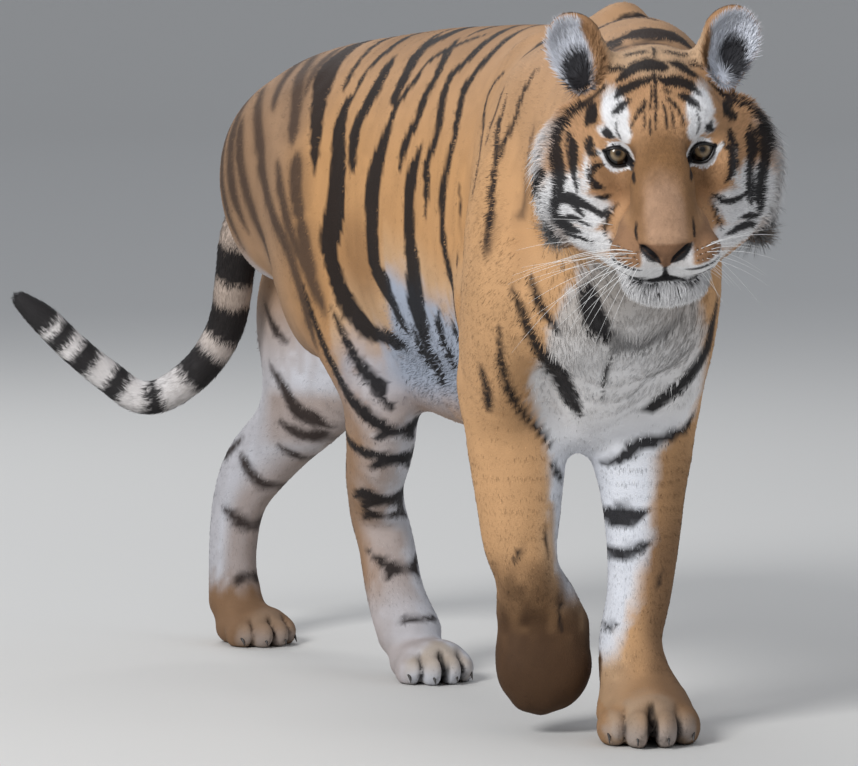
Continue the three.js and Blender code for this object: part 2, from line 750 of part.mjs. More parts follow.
// Half of the groove between the lips.
function mouth(side) {
  const path = curve(MOUTH.map(([x, z]) => onFace(x * side, z)));
  const last = MOUTH.length - 1;
  const rings = MOUTH.map(([, , radius], i) => ring(path, i / last, radius, 6));
  return loft(rings).transform([...headFrame.elements]);
}

function nostril(side) {
  const hole = new THREE.SphereGeometry(1, 10, 6).scale(...NOSTRIL).rotateY(radians(NOSTRIL_TURN * side));
  const at = onFace(NOSTRIL_PLACE[0] * side, NOSTRIL_PLACE[1]);
  return solid(hole.translate(at.x, at.y, at.z).applyMatrix4(headFrame));
}

// A flat tapered lock of the cheek ruff, rooted in the cheek at an angle below level.
function ruffLock(side, { back, length }, angle) {
  const outward = new THREE.Vector3(Math.cos(angle) * side, 0, -Math.sin(angle));
  const far = new THREE.Vector3(30 * side, back, -60).addScaledVector(outward, 200);
  const root = landed(far, outward.clone().negate()).addScaledVector(outward, -9);
  const [out, ...backAndUp] = RUFF_SWEEP;
  const way = outward.clone().multiplyScalar(out).add(new THREE.Vector3(0, ...backAndUp)).normalize();
  const across = way.clone().cross(outward).normalize();
  const through = way.clone().cross(across);
  const rings = RUFF_LOCK.map(([share, width, thickness]) => {
    const centre = root.clone().addScaledVector(way, length * share);
    centre.z -= RUFF_DROOP * share * share;
    return oval(centre, across, through, width / 2, thickness / 2, LOCK_SIDES);
  });
  return loft(rings).transform([...headFrame.elements]);
}

const ruffLocks = [1, -1].flatMap((side) =>
  RUFF_ROWS.flatMap((row) =>
    Array.from({ length: row.count }, (_, i) =>
      ruffLock(side, row, radians(row.from + ((row.to - row.from) * i) / (row.count - 1))),
    ),
  ),
);

let headMade = ruffLocks.reduce((m, lock) => m.add(lock), solid(skin(inHead, headGrid, headToWorld)));
headMade = cutAll(headMade, cuts.head.inner, ears.left.inner, ears.right.inner);
for (const side of [1, -1]) {
  const lids = eyeBall(side, EYE_RADIUS + LID_THICKNESS).subtract(lidOpening(side));
  headMade = headMade.add(lids).subtract(eyeBall(side, EYE_RADIUS + GAP));
  headMade = headMade.subtract(mouth(side)).subtract(nostril(side));
}
addNode("head", headMade);

const iris = material(COLOURS.amber, 0.2);
for (const [name, side] of [["left", 1], ["right", -1]]) {
  addNode(`eye_${name}`, eyeBall(side, EYE_RADIUS), iris);
  const low = [side > 0 ? 30 : -170, 40, 50];
  const high = [side > 0 ? 170 : -30, 160, 190];
  const earSkin = solid(skin(inHead, even(low, high, EAR_CELL), headToWorld));
  addNode(`ear_${name}`, earSkin.intersect(ears[name].outer));
}

// the origin is the middle of the animal's base
const extent = new THREE.Box3().setFromObject(tiger);
const middle = extent.getCenter(new THREE.Vector3());
tiger.position.set(-middle.x, -middle.y, -extent.min.z);

export default tiger;
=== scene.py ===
import itertools
import math
import bmesh
import bpy
import numpy as np
from mathutils import Euler, Matrix, Vector


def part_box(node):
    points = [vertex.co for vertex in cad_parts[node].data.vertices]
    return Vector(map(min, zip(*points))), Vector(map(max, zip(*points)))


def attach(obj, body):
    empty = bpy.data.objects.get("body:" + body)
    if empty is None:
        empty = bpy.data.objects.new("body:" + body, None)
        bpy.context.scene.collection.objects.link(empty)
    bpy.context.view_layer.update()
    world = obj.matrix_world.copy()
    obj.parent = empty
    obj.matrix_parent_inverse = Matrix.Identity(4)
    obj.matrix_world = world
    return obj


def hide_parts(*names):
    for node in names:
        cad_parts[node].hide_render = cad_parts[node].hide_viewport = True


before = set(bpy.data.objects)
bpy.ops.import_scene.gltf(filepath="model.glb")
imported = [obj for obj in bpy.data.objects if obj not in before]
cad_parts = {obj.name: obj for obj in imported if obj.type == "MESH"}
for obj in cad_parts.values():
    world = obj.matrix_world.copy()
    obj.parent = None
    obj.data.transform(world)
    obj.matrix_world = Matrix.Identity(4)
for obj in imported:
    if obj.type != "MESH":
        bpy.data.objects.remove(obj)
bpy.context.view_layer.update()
mm = 0.001
rng = np.random.default_rng(11)
fleshNodes = [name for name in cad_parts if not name.startswith("eye")]


# ---- small helpers
def linear(hexColour):
    values = [int(hexColour[i:i + 2], 16) / 255 for i in (1, 3, 5)]
    return np.array([v / 12.92 if v <= 0.04045 else ((v + 0.055) / 1.055) ** 2.4 for v in values])


def step(low, high, values):
    t = np.clip((values - low) / (high - low), 0, 1)
    return t * t * (3 - 2 * t)


def unit(vectors):
    return vectors / np.maximum(np.linalg.norm(vectors, axis=-1, keepdims=True), 1e-9)


hashing = dict(shift=1000, seedStep=7919, factor=0x9E3779B1, wrap=0x7FFFFFFF, drop=7, levels=4096)


def softNoise(points, size, seed=0):
    # smooth random values from -1 to 1, size is the grain in the points' own unit
    spot = points / size + hashing["shift"]
    cell = np.floor(spot).astype(np.int64)
    part = spot - cell
    part = part * part * (3 - 2 * part)
    total = np.zeros(len(points))
    for corner in itertools.product((0, 1), repeat=points.shape[1]):
        mixed = np.full(len(points), seed * hashing["seedStep"], np.int64)
        weight = np.ones(len(points))
        for axis, far in enumerate(corner):
            mixed = (mixed ^ (cell[:, axis] + far)) * hashing["factor"] % hashing["wrap"]
            weight = weight * (part[:, axis] if far else 1 - part[:, axis])
        values = (mixed >> hashing["drop"]) % hashing["levels"]
        total += weight * (values / ((hashing["levels"] - 1) / 2) - 1)
    return total


def turned(degrees, order="XZY"):
    return Euler([math.radians(a) for a in degrees], order).to_matrix()


def readAll(items, key, width, kind=np.float32):
    out = np.empty(len(items) * width, kind)
    items.foreach_get(key, out)
    return out.reshape(-1, width)


def vertexSpots(bm):
    return np.array([v.co for v in bm.verts])


def asMesh(bm, name, smooth=True):
    mesh = bpy.data.meshes.new(name)
    bm.to_mesh(mesh)
    bm.free()
    if smooth:
        mesh.shade_smooth()
    return mesh


def inScene(name, data):
    piece = bpy.data.objects.new(name, data)
    bpy.context.scene.collection.objects.link(piece)
    return piece


def link(name, mesh, material):
    piece = inScene(name, mesh)
    mesh.materials.append(material)
    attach(piece, "root")
    return piece


# ---- frames: the spine bends evenly to the tiger's right and the skull is turned, dropped and tilted
spineBend = 0.45  # radians a metre
skull = dict(place=(20, -500, 806), drop=13, tilt=2.7, turn=-13.6, eyeLevel=-4)


def bent(places):
    turn = spineBend * places[:, 1]
    reach = 1 / spineBend + places[:, 0]
    return np.column_stack([reach * np.cos(turn) - 1 / spineBend, reach * np.sin(turn), places[:, 2]])


def straight(points):
    x = points[:, 0] + 1 / spineBend
    along = np.arctan2(points[:, 1], x) / spineBend
    return np.column_stack([np.hypot(x, points[:, 1]) - 1 / spineBend, along, points[:, 2]])


skullWay = np.array(turned((skull["drop"], -skull["tilt"], skull["turn"]), "YXZ"))
eyesAt = np.mean([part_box(name) for name in ("eye_left", "eye_right")], axis=(0, 1))
headAt = eyesAt - skullWay @ (0, 0, skull["eyeLevel"] * mm)
base = headAt - bent(np.array([skull["place"]]) * mm)[0]


def inBody(points):  # [side, along, height] in mm
    return straight(points - base) / mm


def inHead(points):  # [left, back, up] in mm from just above midway between the eyes
    return (points - headAt) @ skullWay / mm


def fromHead(places):
    return np.asarray(places, float) * mm @ skullWay.T + headAt


def fromBody(places):
    return bent(np.asarray(places, float) * mm) + base


def bodyWay(points, ways):  # turns directions of the body frame into the world
    turn = spineBend * straight(points - base)[:, 1]
    x = ways[:, 0] * np.cos(turn) - ways[:, 1] * np.sin(turn)
    y = ways[:, 0] * np.sin(turn) + ways[:, 1] * np.cos(turn)
    return np.column_stack([x, y, ways[:, 2]])


# ---- anatomy in mm: ellipsoids of muscle and smooth limbs, melted together
farAway = 1000
cullRoom = 120


def melt(a, b, blend):
    h = np.maximum(blend - np.abs(a - b), 0)
    return np.minimum(a, b) - h * h / (4 * blend)


def ellipsoid(local, radii):
    near = np.sqrt(((local / radii) ** 2).sum(-1))
    steep = np.sqrt(((local / radii ** 2) ** 2).sum(-1))
    return near * (near - 1) / np.maximum(steep, 1e-7)


def mass(centre, radii, turn=(0, 0, 0), blend=30):
    way = np.array(turned(turn))
    at, sizes = np.array(centre, float), np.array(radii, float)

    def near(points):
        return ellipsoid((points - at) @ way, sizes)
    return dict(blend=blend, low=at - sizes.max(), high=at + sizes.max(), near=near)


def throughPoints(rows, steps=4):
    rows = np.array(rows, float)
    padded = np.vstack([2 * rows[0] - rows[1], rows, 2 * rows[-1] - rows[-2]])
    out = []
    for p0, p1, p2, p3 in zip(padded, padded[1:], padded[2:], padded[3:]):
        out1, in2 = (p2 - p0) / 2, (p3 - p1) / 2
        for t in np.arange(steps) / steps:
            out.append(p1 + t * out1 + t * t * (3 * (p2 - p1) - 2 * out1 - in2)
                       + t ** 3 * (2 * (p1 - p2) + out1 + in2))
    return np.array(out + [rows[-1]])


def limb(stations, blend=30):
    # stations are side, along, height, half width, half depth
    rows = throughPoints(stations)
    axes = rows[1:, :3] - rows[:-1, :3]
    lengths = np.linalg.norm(axes, axis=1)
    axes = axes / lengths[:, None]
    across = unit(np.array([1.0, 0, 0]) - axes * axes[:, :1])
    deep = np.cross(axes, across)
    reach = rows[:, 3:].max(1)[:, None]

    def near(points, wayToo=False):
        best = np.full(len(points), float(farAway))
        way = np.zeros((len(points), 3))
        share = np.zeros(len(points))
        for i in range(len(axes)):
            q = points - rows[i, :3]
            along = q @ axes[i]
            t = np.clip(along / lengths[i], 0, 1)
            w, d = (rows[i, 3:] + (rows[i + 1, 3:] - rows[i, 3:]) * t[:, None]).T
            local = np.column_stack([q @ across[i], q @ deep[i], along - t * lengths[i]])
            f = ellipsoid(local, np.column_stack([w, d, np.minimum(w, d)]))
            closer = f < best
            best = np.where(closer, f, best)
            if wayToo:
                way[closer] = axes[i]
                share[closer] = (i + t[closer]) / len(axes)
        return (best, way, share) if wayToo else best
    return dict(blend=blend, low=(rows[:, :3] - reach).min(0), high=(rows[:, :3] + reach).max(0), near=near)


def joined(points, shapes, dents=()):
    f = np.full(len(points), float(farAway))
    for sign, shape in [(1, shape) for shape in shapes] + [(-1, shape) for shape in dents]:
        close = np.all((points > shape["low"] - cullRoom) & (points < shape["high"] + cullRoom), axis=1)
        if close.any():
            f[close] = sign * melt(sign * f[close], shape["near"](points[close]), shape["blend"])
    return f


trunk = limb([
    (0, -215, 690, 90, 124), (0, -130, 668, 120, 204), (0, -40, 662, 132, 264), (0, 80, 666, 150, 286),
    (0, 210, 667, 163, 287), (0, 350, 668, 172, 282), (0, 480, 675, 168, 271), (0, 600, 690, 156, 248),
    (0, 720, 710, 150, 216), (0, 830, 724, 140, 180), (0, 905, 729, 118, 139)], 40)
neck = limb([(0, -20, 745, 124, 200), (4, -150, 766, 130, 188), (10, -280, 776, 124, 164),
             (16, -390, 784, 108, 134)], 50)
shoulderLeft = limb([(64, 40, 926, 50, 72), (88, -20, 856, 52, 98), (104, -70, 740, 58, 106),
                     (108, -100, 630, 58, 104), (106, -66, 540, 60, 94), (98, -14, 462, 64, 78)], 36)
shoulderRight = limb([(-54, 60, 896, 28, 62), (-88, 0, 800, 46, 92), (-118, -70, 710, 56, 106),
                      (-130, -112, 620, 58, 104), (-126, -70, 535, 58, 94), (-116, -14, 462, 54, 76)], 36)
foreLegLeft = limb([(94, -10, 470, 66, 78), (80, -24, 400, 74, 70), (77, -40, 330, 61, 55),
                    (74, -52, 260, 52, 47), (66, -62, 190, 46, 43), (52, -72, 130, 45, 43),
                    (53, -92, 85, 50, 44), (60, -104, 50, 58, 46)], 24)
foreLegRight = limb([(-118, -12, 470, 54, 74), (-94, -12, 405, 70, 66), (-92, -28, 310, 60, 52),
                     (-93, -38, 262, 53, 46), (-84, -44, 218, 47, 44), (-68, -30, 175, 58, 38),
                     (-54, -16, 140, 62, 34)], 24)
hindLegRight = limb([(-62, 775, 800, 66, 110), (-88, 715, 700, 80, 150), (-98, 640, 600, 78, 140),
                     (-100, 575, 510, 66, 106), (-94, 540, 430, 56, 80), (-78, 568, 350, 50, 64),
                     (-60, 618, 290, 44, 54), (-32, 660, 238, 42, 50), (-22, 653, 190, 43, 45),
                     (-22, 626, 120, 45, 44), (-14, 598, 64, 50, 44)], 30)
hindLegLeft = limb([(66, 800, 800, 66, 110), (88, 810, 700, 80, 152), (98, 845, 600, 76, 142),
                    (98, 890, 510, 66, 122), (90, 940, 440, 58, 100), (80, 985, 375, 50, 80),
                    (66, 1040, 315, 45, 62), (50, 1092, 258, 40, 58), (32, 1108, 200, 38, 47),
                    (12, 1098, 125, 37, 41), (2, 1080, 64, 42, 42)], 30)
tailStations = [
    (0, 910, 812, 52), (-6, 965, 760, 42), (-22, 990, 690, 36), (-44, 1008, 624, 34), (-34, 1036, 555, 33),
    (-24, 1068, 485, 32), (-42, 1100, 425, 31), (-77, 1140, 382, 30), (-112, 1170, 374, 29),
    (-147, 1200, 403, 28), (-193, 1230, 447, 27), (-230, 1260, 492, 26), (-256, 1282, 520, 19)]
tail = limb([(x, y, z, r, r) for x, y, z, r in tailStations], 12)

toes = dict(spread=(-43, -16, 15, 42), reach=(-38, -58, -56, -34), radii=(19, 33, 25))


def paw(place, size=1, turn=0, droop=0, lean=0, toeBlend=9):
    way = turned((droop, lean, turn))

    def put(at):
        return np.array(place) + np.array(way @ Vector(at)) * size

    def lump(at, radii, tip=0, yaw=0, blend=20):
        tipped = (way @ turned((tip, 0, yaw))).to_euler("XZY")
        return mass(put(at), np.array(radii) * size, [math.degrees(a) for a in tipped], blend)
    lumps = [lump((0, -6, 36), (56, 58, 32), -12, blend=26), lump((0, 22, 22), (46, 42, 24), blend=22)]
    for x, y in zip(toes["spread"], toes["reach"]):
        lumps.append(lump((x, y, 24), toes["radii"], -8, -x * 0.28, toeBlend))
    return lumps


paws = dict(
    foreLeft=dict(place=(62, -118, -4), size=1.14, turn=-6),
    foreRight=dict(place=(-50, 2, 108), turn=-4, droop=76, lean=19, toeBlend=34),
    hindRight=dict(place=(-12, 545, -4), size=0.96, turn=-8),
    hindLeft=dict(place=(6, 1045, -4), size=0.92, turn=-10))
pawShapes = {name: paw(**sizes) for name, sizes in paws.items()}
bodyShapes = [
    trunk, neck,
    shoulderLeft, mass((78, -110, 886), (62, 110, 62), blend=40),
    mass((46, -170, 900), (58, 130, 62), blend=50),
    mass((100, 20, 570), (44, 95, 92), (-20, 0, 0), 40), mass((58, -180, 590), (62, 62, 90), blend=40),
    shoulderRight, mass((-62, -110, 862), (56, 110, 60), blend=40),
    mass((-118, 20, 565), (44, 95, 92), (-20, 0, 0), 40), mass((-62, -185, 590), (62, 62, 90), blend=40),
    foreLegLeft, foreLegRight,
    hindLegRight, mass((-68, 880, 700), (72, 98, 132), blend=50),
    mass((-78, 728, 545), (52, 94, 92), blend=50),
    hindLegLeft, mass((68, 885, 700), (70, 98, 130), blend=50),
    mass((72, 1004, 492), (50, 96, 140), blend=50),
    *itertools.chain.from_iterable(pawShapes.values()),
    tail, mass((0, 330, 440), (105, 230, 56), blend=40), mass((0, -225, 640), (80, 60, 100), blend=40),
    mass((-4, -10, 428), (62, 70, 46), blend=36)]


def pair(make):
    return [make(1), make(-1)]


earShapes = pair(lambda s: mass((98 * s, 104, 111), (39, 23, 46), (-8, 18 * s, 0), 12))
ruffShapes = pair(lambda s: mass((106 * s, 64, -46), (50, 48, 98), (0, 0, -10 * s), 30))
headShapes = [
    mass((0, 92, 18), (90, 108, 92)), mass((0, 34, 26), (72, 60, 54)),
    limb([(0, 20, 22, 46, 40), (0, -50, -16, 44, 40), (0, -104, -56, 38, 34), (0, -129, -82, 35, 27)], 20),
    mass((0, -62, -94), (60, 76, 50), blend=26),
    limb([(0, -88, -151, 48, 25), (0, -50, -146, 56, 34), (0, 30, -122, 78, 48)], 22),
    *pair(lambda s: mass((46 * s, 9, 36), (34, 22, 20), (0, 0, 18 * s))),
    *pair(lambda s: mass((35 * s, -98, -106), (36, 46, 31), blend=10)),
    *pair(lambda s: mass((74 * s, 34, -36), (44, 66, 54), blend=34)),
    *pair(lambda s: mass((68 * s, 46, -98), (44, 72, 56), blend=34)),
    *ruffShapes,
    *pair(lambda s: mass((84 * s, 98, 84), (38, 30, 42), (0, 25 * s, 0), 26)),
    *earShapes]
headDents = [
    *pair(lambda s: mass((54 * s, -36, -8), (23, 22, 16), blend=24)),
    *pair(lambda s: mass((101 * s, 79, 106), (33, 25, 45), (-8, 18 * s, 0), 5))]
earCups = headDents[2:]


def bodyWithout(*others):
    return [shape for shape in bodyShapes if not any(shape is other for other in others)]


trunkShapes = bodyWithout(tail)
foreLegsApart = [bodyWithout(foreLegLeft, *pawShapes["foreLeft"]),
                 bodyWithout(foreLegRight, *pawShapes["foreRight"])]
apartPlace = dict(below=400, before=250)  # there the two forelegs pass each other without melting
headBlend = 36


def flesh(points):
    body, head = inBody(points), inHead(points)
    f = joined(body, bodyShapes)
    low = (body[:, 2] < apartPlace["below"]) & (body[:, 1] < apartPlace["before"])
    if low.any():
        f[low] = np.minimum(*[joined(body[low], shapes) for shapes in foreLegsApart])
    return melt(f, joined(head, headShapes, headDents), headBlend)


slopeReach = 0.0008  # metres
leastSteep = 0.15


def slope(field, points, f):
    ways = np.empty((len(points), 3))
    for axis in range(3):
        moved = points.copy()
        moved[:, axis] += slopeReach
        ways[:, axis] = (field(moved) - f) / (slopeReach / mm)
    return ways


def settle(points, field, target, most, passes):
    # moves points along the field's slope to where it is target mm
    points = points.copy()
    for _ in range(passes):
        f = field(points)
        ways = slope(field, points, f)
        steepness = np.maximum((ways ** 2).sum(1), leastSteep)
        move = np.clip((target - f) / steepness, -most, most)
        points += ways * move[:, None] * mm
    return points


# ---- regions of the animal, each a weight from 0 to 1 at every point
spineAxis = 690  # the height round which the flanks' degrees are counted, 0 at the spine, 180 below
midLength = 300  # forelegs lie ahead of it, hind legs behind it


def framePlaces(points):
    body = inBody(points)
    side, along, height = body.T
    around = np.degrees(np.arctan2(np.abs(side), height - spineAxis))
    return dict(body=body, head=inHead(points), side=side, along=along, height=height, around=around)


def nearest(shapes, places):
    return np.minimum(*[shape["near"](places) for shape in shapes])


def regions(points):
    at = framePlaces(points)
    body, head, side, along, height, around = at.values()
    x, y, z = np.abs(head[:, 0]), head[:, 1], head[:, 2]
    bodyNear = joined(body, trunkShapes)
    nearHead = step(25, -25, joined(head, headShapes) - bodyNear)
    at["cup"] = step(7, 1, nearest(earCups, head)) * step(40, 55, y)
    earAbove = step(92, 104, z + 0.35 * (x - 80)) * step(62, 72, x) * step(60, 70, y)
    at["ear"] = nearHead * np.maximum(earAbove, at["cup"])
    at["inHead"] = np.maximum(nearHead * step(140, 90, y), at["ear"])
    offHead, offEar = 1 - at["inHead"], 1 - at["ear"]
    ruff = step(16, -4, nearest(ruffShapes, head))
    at["ruff"] = at["inHead"] * ruff * step(20, 60, y) * offEar * step(60, 20, z)
    at["face"] = at["inHead"] * step(60, 20, y) * offEar
    at["muzzle"] = at["face"] * step(-20, -60, y) * step(-40, -70, z)
    at["tail"] = step(30, 8, tail["near"](body) - bodyNear) * step(900, 935, along)
    legs = step(460, 340, height) * (1 - at["tail"]) * offHead
    ahead = along < midLength
    at["foreLeg"] = legs * ahead
    at["hindLeg"] = legs * ~ahead
    # which side's limb it is, where the feet cross the middle line
    at["leftLimb"] = np.where((height < 440) & ~ahead, along > 790, side > 0) * 1.0
    lifted = (height < 440) & (side < 8) & (along > -95)
    at["lifted"] = ahead * (lifted | (side < -12)) * step(260, 230, height)
    at["paw"] = legs * np.maximum(step(110, 70, height), at["lifted"] * step(190, 160, height))
    at["belly"] = step(124, 152, around) * (1 - legs) * offHead
    at["belly"] *= step(-40, 60, along) * step(460, 370, along)
    at["chest"] = step(20, -70, along) * step(-30, -130, along - 0.3 * (height - 520))
    at["chest"] *= (1 - legs) * offHead * step(760, 660, height)
    at["chest"] *= step(130, 90, np.abs(side - 15)) * step(400, 480, height)
    return at


def mix(at, plain, **values):
    # a size that is plain on the flank and its own value in each named region
    out = np.full(len(at["side"]), float(plain))
    for name, value in values.items():
        out += at[name] * (value - out)
    return out


def coatDepth(at):
    return mix(at, 3.6, belly=9, chest=7, tail=4.5, foreLeg=2.8, hindLeg=2.8, paw=1.6, inHead=4, face=1.8,
               ruff=10, ear=1.6, muzzle=1.5)


# ---- skin
# mm, slant in degrees; reach is how far off the ball the opened skin may be, sunk how far behind it goes
eyeSizes = dict(spacing=106, radius=18.5, lid=2.6, width=37, rise=11.5, fall=11, slant=24, reach=12, sunk=2.2)
slant = math.radians(eyeSizes["slant"])
# voxel, swell and lowest in metres, the others in mm
skinSizes = dict(voxel=0.0088, swell=0.0015, lowest=0.0012, lock=5, apart=6, most=6)


def eyePlace(side):
    return np.array([side * eyeSizes["spacing"] / 2, 0, skull["eyeLevel"]])


def eyeFrame(points, side):
    # places about an eye in its own frame, unslanted: out from the nose, back, up
    q = inHead(points) - eyePlace(side)
    q[:, 0] *= side
    c, s = math.cos(slant), math.sin(slant)
    return np.column_stack([q[:, 0] * c + q[:, 2] * s, q[:, 1], q[:, 2] * c - q[:, 0] * s])


def lidEdge(x):
    # how high the upper and the lower lid stand at x along the eye, in mm
    share = np.clip(1 - (2 * x / eyeSizes["width"]) ** 2, 0, 1)
    return eyeSizes["rise"] * share, -eyeSizes["fall"] * share


def withLids(points, f):
    for side in (1, -1):
        away = np.linalg.norm(eyeFrame(points, side), axis=1)
        f = melt(f, away - (eyeSizes["radius"] + eyeSizes["lid"]), 5)
    return f


def strokeNear(spots, points, steps=3):
    # distance from a smooth line on a chart, and where along it
    rows = throughPoints(points, steps)
    best, share = np.full(len(spots), float(farAway)), np.zeros(len(spots))
    for i, (a, b) in enumerate(zip(rows, rows[1:])):
        way = b - a
        t = np.clip((spots - a) @ way / (way @ way), 0, 1)
        away = np.linalg.norm(spots - a - way * t[:, None], axis=1)
        closer = away < best
        best[closer] = away[closer]
        share[closer] = (i + t[closer]) / (len(rows) - 1)
    return best, share


# grooves of the face on the chart of left and up: depth, half width and the line
grooves = dict(
    mouth=(3.2, 2.6, (-57, -127), (-36, -138), (-14, -139), (-1, -133), (12, -139), (34, -138), (55, -128)),
    philtrum=(2.4, 2.0, (-1, -101), (-1, -118), (-1, -133)),
    nostrilRight=(6.5, 4.2, (-27, -87), (-19, -91), (-11, -99)),
    nostrilLeft=(6.5, 4.2, (25, -87), (17, -91), (9, -99)),
    noseWingRight=(1.6, 2.4, (-37, -82), (-30, -92), (-14, -104)),
    noseWingLeft=(1.6, 2.4, (35, -82), (28, -92), (12, -104)))


def faceRelief(points):
    q = inHead(points)
    x, y, z = q.T
    low = np.flatnonzero((y < -60) & (z < -70) & (z > -160) & (np.abs(x) < 80))
    relief = np.zeros(len(points))
    for depth, half, *line in grooves.values():
        away, _ = strokeNear(q[low][:, [0, 2]], line)
        relief[low] += depth * np.exp(-(away / half) ** 2)
    return relief


def pawPlaces(body, name):
    # a standing paw's own frame: across, forward is negative, up
    sizes = paws[name]
    return (body - np.array(sizes["place"])) @ np.array(turned((0, 0, sizes["turn"]))) / sizes["size"]


def toeGaps(body, name):
    # distance from each cleft between the toes, a share that fades behind the knuckles, and the paw's frame
    q = pawPlaces(body, name)
    between = (np.array(toes["spread"][1:]) + np.array(toes["spread"][:-1])) / 2
    fan = 1 - 0.0028 * (q[:, 1] + 30)
    away = np.abs(q[:, :1] - between * fan[:, None])
    front = step(-30, -54, q[:, 1] + 0.25 * np.abs(q[:, 0])) * (np.abs(q[:, 0]) < 46) * step(60, 46, q[:, 2])
    return away, front, q


# half widths in mm of the three clefts of each standing paw, whose darkness is painted shade
clefts = dict(foreLeft=(1.6, 7, 2.4), hindRight=(3, 6, 4.6), hindLeft=(2, 3, 2))


def pawRelief(points):
    body = inBody(points)
    relief = np.zeros(len(points))
    for name, widths in clefts.items():
        low = np.flatnonzero(np.linalg.norm(body - paws[name]["place"] - (0, -20, 20), axis=1) < 130)
        away, front, _ = toeGaps(body[low], name)
        widths = np.array(widths)
        relief[low] += front * ((2 + widths) * np.exp(-(away / (2.6 + 0.4 * widths)) ** 2)).max(1)
    return relief


def bareFlesh(points):
    return withLids(points, flesh(points)) + faceRelief(points) + pawRelief(points)


def openEyes(bm):
    # the skin within the lids lies just behind the ball
    bm.verts.ensure_lookup_table()
    spots = vertexSpots(bm)
    for side in (1, -1):
        q = eyeFrame(spots, side)
        x, y, z = q.T
        upper, lower = lidEdge(x)
        inside = (np.abs(x) < eyeSizes["width"] / 2) & (z < upper) & (z > lower) & (y < 0)
        inside &= np.linalg.norm(q, axis=1) < eyeSizes["radius"] + eyeSizes["reach"]
        centre = Vector(fromHead([eyePlace(side)])[0])
        for i in np.flatnonzero(inside):
            vert = bm.verts[i]
            away = (vert.co - centre).normalized()
            vert.co = centre + away * (eyeSizes["radius"] - eyeSizes["sunk"]) * mm


crossing = ("foreleg_left", "forepaw_left", "forepaw_right")  # held apart while the voxels unite the rest


def partsUnited():
    bm = bmesh.new()
    for name in fleshNodes:
        part = bmesh.new()
        part.from_mesh(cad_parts[name].data)
        bmesh.ops.remove_doubles(part, verts=part.verts, dist=1e-6)
        spots = vertexSpots(part)
        away = flesh(spots)
        locks = away > skinSizes["lock"]  # the ruff's locks are laid back on the skin
        spots[locks] = settle(spots[locks], flesh, 0.0, 12, 8)
        if name in crossing:
            outer = away > -skinSizes["apart"]
            spots[outer] = settle(spots[outer], flesh, -skinSizes["apart"], 6, 2)
        for vert, spot in zip(part.verts, spots):
            vert.co = Vector(spot) + vert.normal * skinSizes["swell"]
        mesh = asMesh(part, "part", smooth=False)
        bm.from_mesh(mesh)
        bpy.data.meshes.remove(mesh)
    return bm


def relax(bm):
    axes = dict(use_axis_x=True, use_axis_y=True, use_axis_z=True)
    bmesh.ops.smooth_vert(bm, verts=bm.verts, factor=0.5, **axes)


def fitSkin(bm, passes):
    # the skin lies under the solids by the coat's depth
    depth = -coatDepth(regions(vertexSpots(bm)))
    for turn in range(passes):
        bm.normal_update()
        away = bareFlesh(vertexSpots(bm)) - depth
        for vert, move in zip(bm.verts, np.clip(-away, -skinSizes["most"], skinSizes["most"]) * mm):
            vert.co += vert.normal * move
        if turn < passes - 1:
            relax(bm)


def keepLargest(bm):
    seen, best = set(), []
    for start in bm.verts:
        if start in seen:
            continue
        island, stack = [], [start]
        seen.add(start)
        while stack:
            vert = stack.pop()
            island.append(vert)
            for edge in vert.link_edges:
                other = edge.other_vert(vert)
                if other not in seen:
                    seen.add(other)
                    stack.append(other)
        best = max(best, island, key=len)
    kept = set(best)
    bmesh.ops.delete(bm, geom=[v for v in bm.verts if v not in kept], context="VERTS")


def remeshed(bm):
    mesh = asMesh(bm, "united", smooth=False)
    piece = inScene("united", mesh)
    remesh = piece.modifiers.new("voxels", "REMESH")
    remesh.mode = "VOXEL"
    remesh.voxel_size = skinSizes["voxel"]
    evaluated = piece.evaluated_get(bpy.context.evaluated_depsgraph_get())
    out = bmesh.new()
    out.from_mesh(evaluated.to_mesh())
    evaluated.to_mesh_clear()
    bpy.data.objects.remove(piece)
    bpy.data.meshes.remove(mesh)
    keepLargest(out)
    return out


def refine(bm, zone):
    picked = zone(np.array([f.calc_center_median() for f in bm.faces]))
    edges = {e for face, yes in zip(bm.faces, picked) if yes for e in face.edges}
    bmesh.ops.subdivide_edges(bm, edges=list(edges), cuts=1, use_grid_fill=True)


def headZone(points):
    x, y, z = inHead(points).T
    return (y < 140) & (np.abs(x) < 170) & (z > -215) & (z < 175)


def pawZone(points):
    side, along, height = inBody(points).T
    return (height < 66) | (height < 165) & (side < -8) & (along < 120)


def faceZone(points):
    x, y, z = inHead(points).T
    x = np.abs(x)
    return (y < 0) & (x < 86) & (z < 30) & (z > -170) & ((z > -25) | (x < 84) & (z < -70) & (y < -60))


def eyeZone(points):
    room = (25, 30, 18)
    return np.any([np.all(np.abs(eyeFrame(points, side)) < room, axis=1) for side in (1, -1)], axis=0)


def makeSkin():
    bm = remeshed(partsUnited())
    fitSkin(bm, 4)
    for zone in (headZone, pawZone, faceZone):
        refine(bm, zone)
        relax(bm)
    fitSkin(bm, 3)
    refine(bm, eyeZone)
    fitSkin(bm, 1)
    openEyes(bm)
    for vert in bm.verts:
        vert.co.z = max(vert.co.z, skinSizes["lowest"])
    bmesh.ops.recalc_face_normals(bm, faces=bm.faces)
    mesh = asMesh(bm, "skin")
    print("skin", len(mesh.vertices), "points")
    return mesh


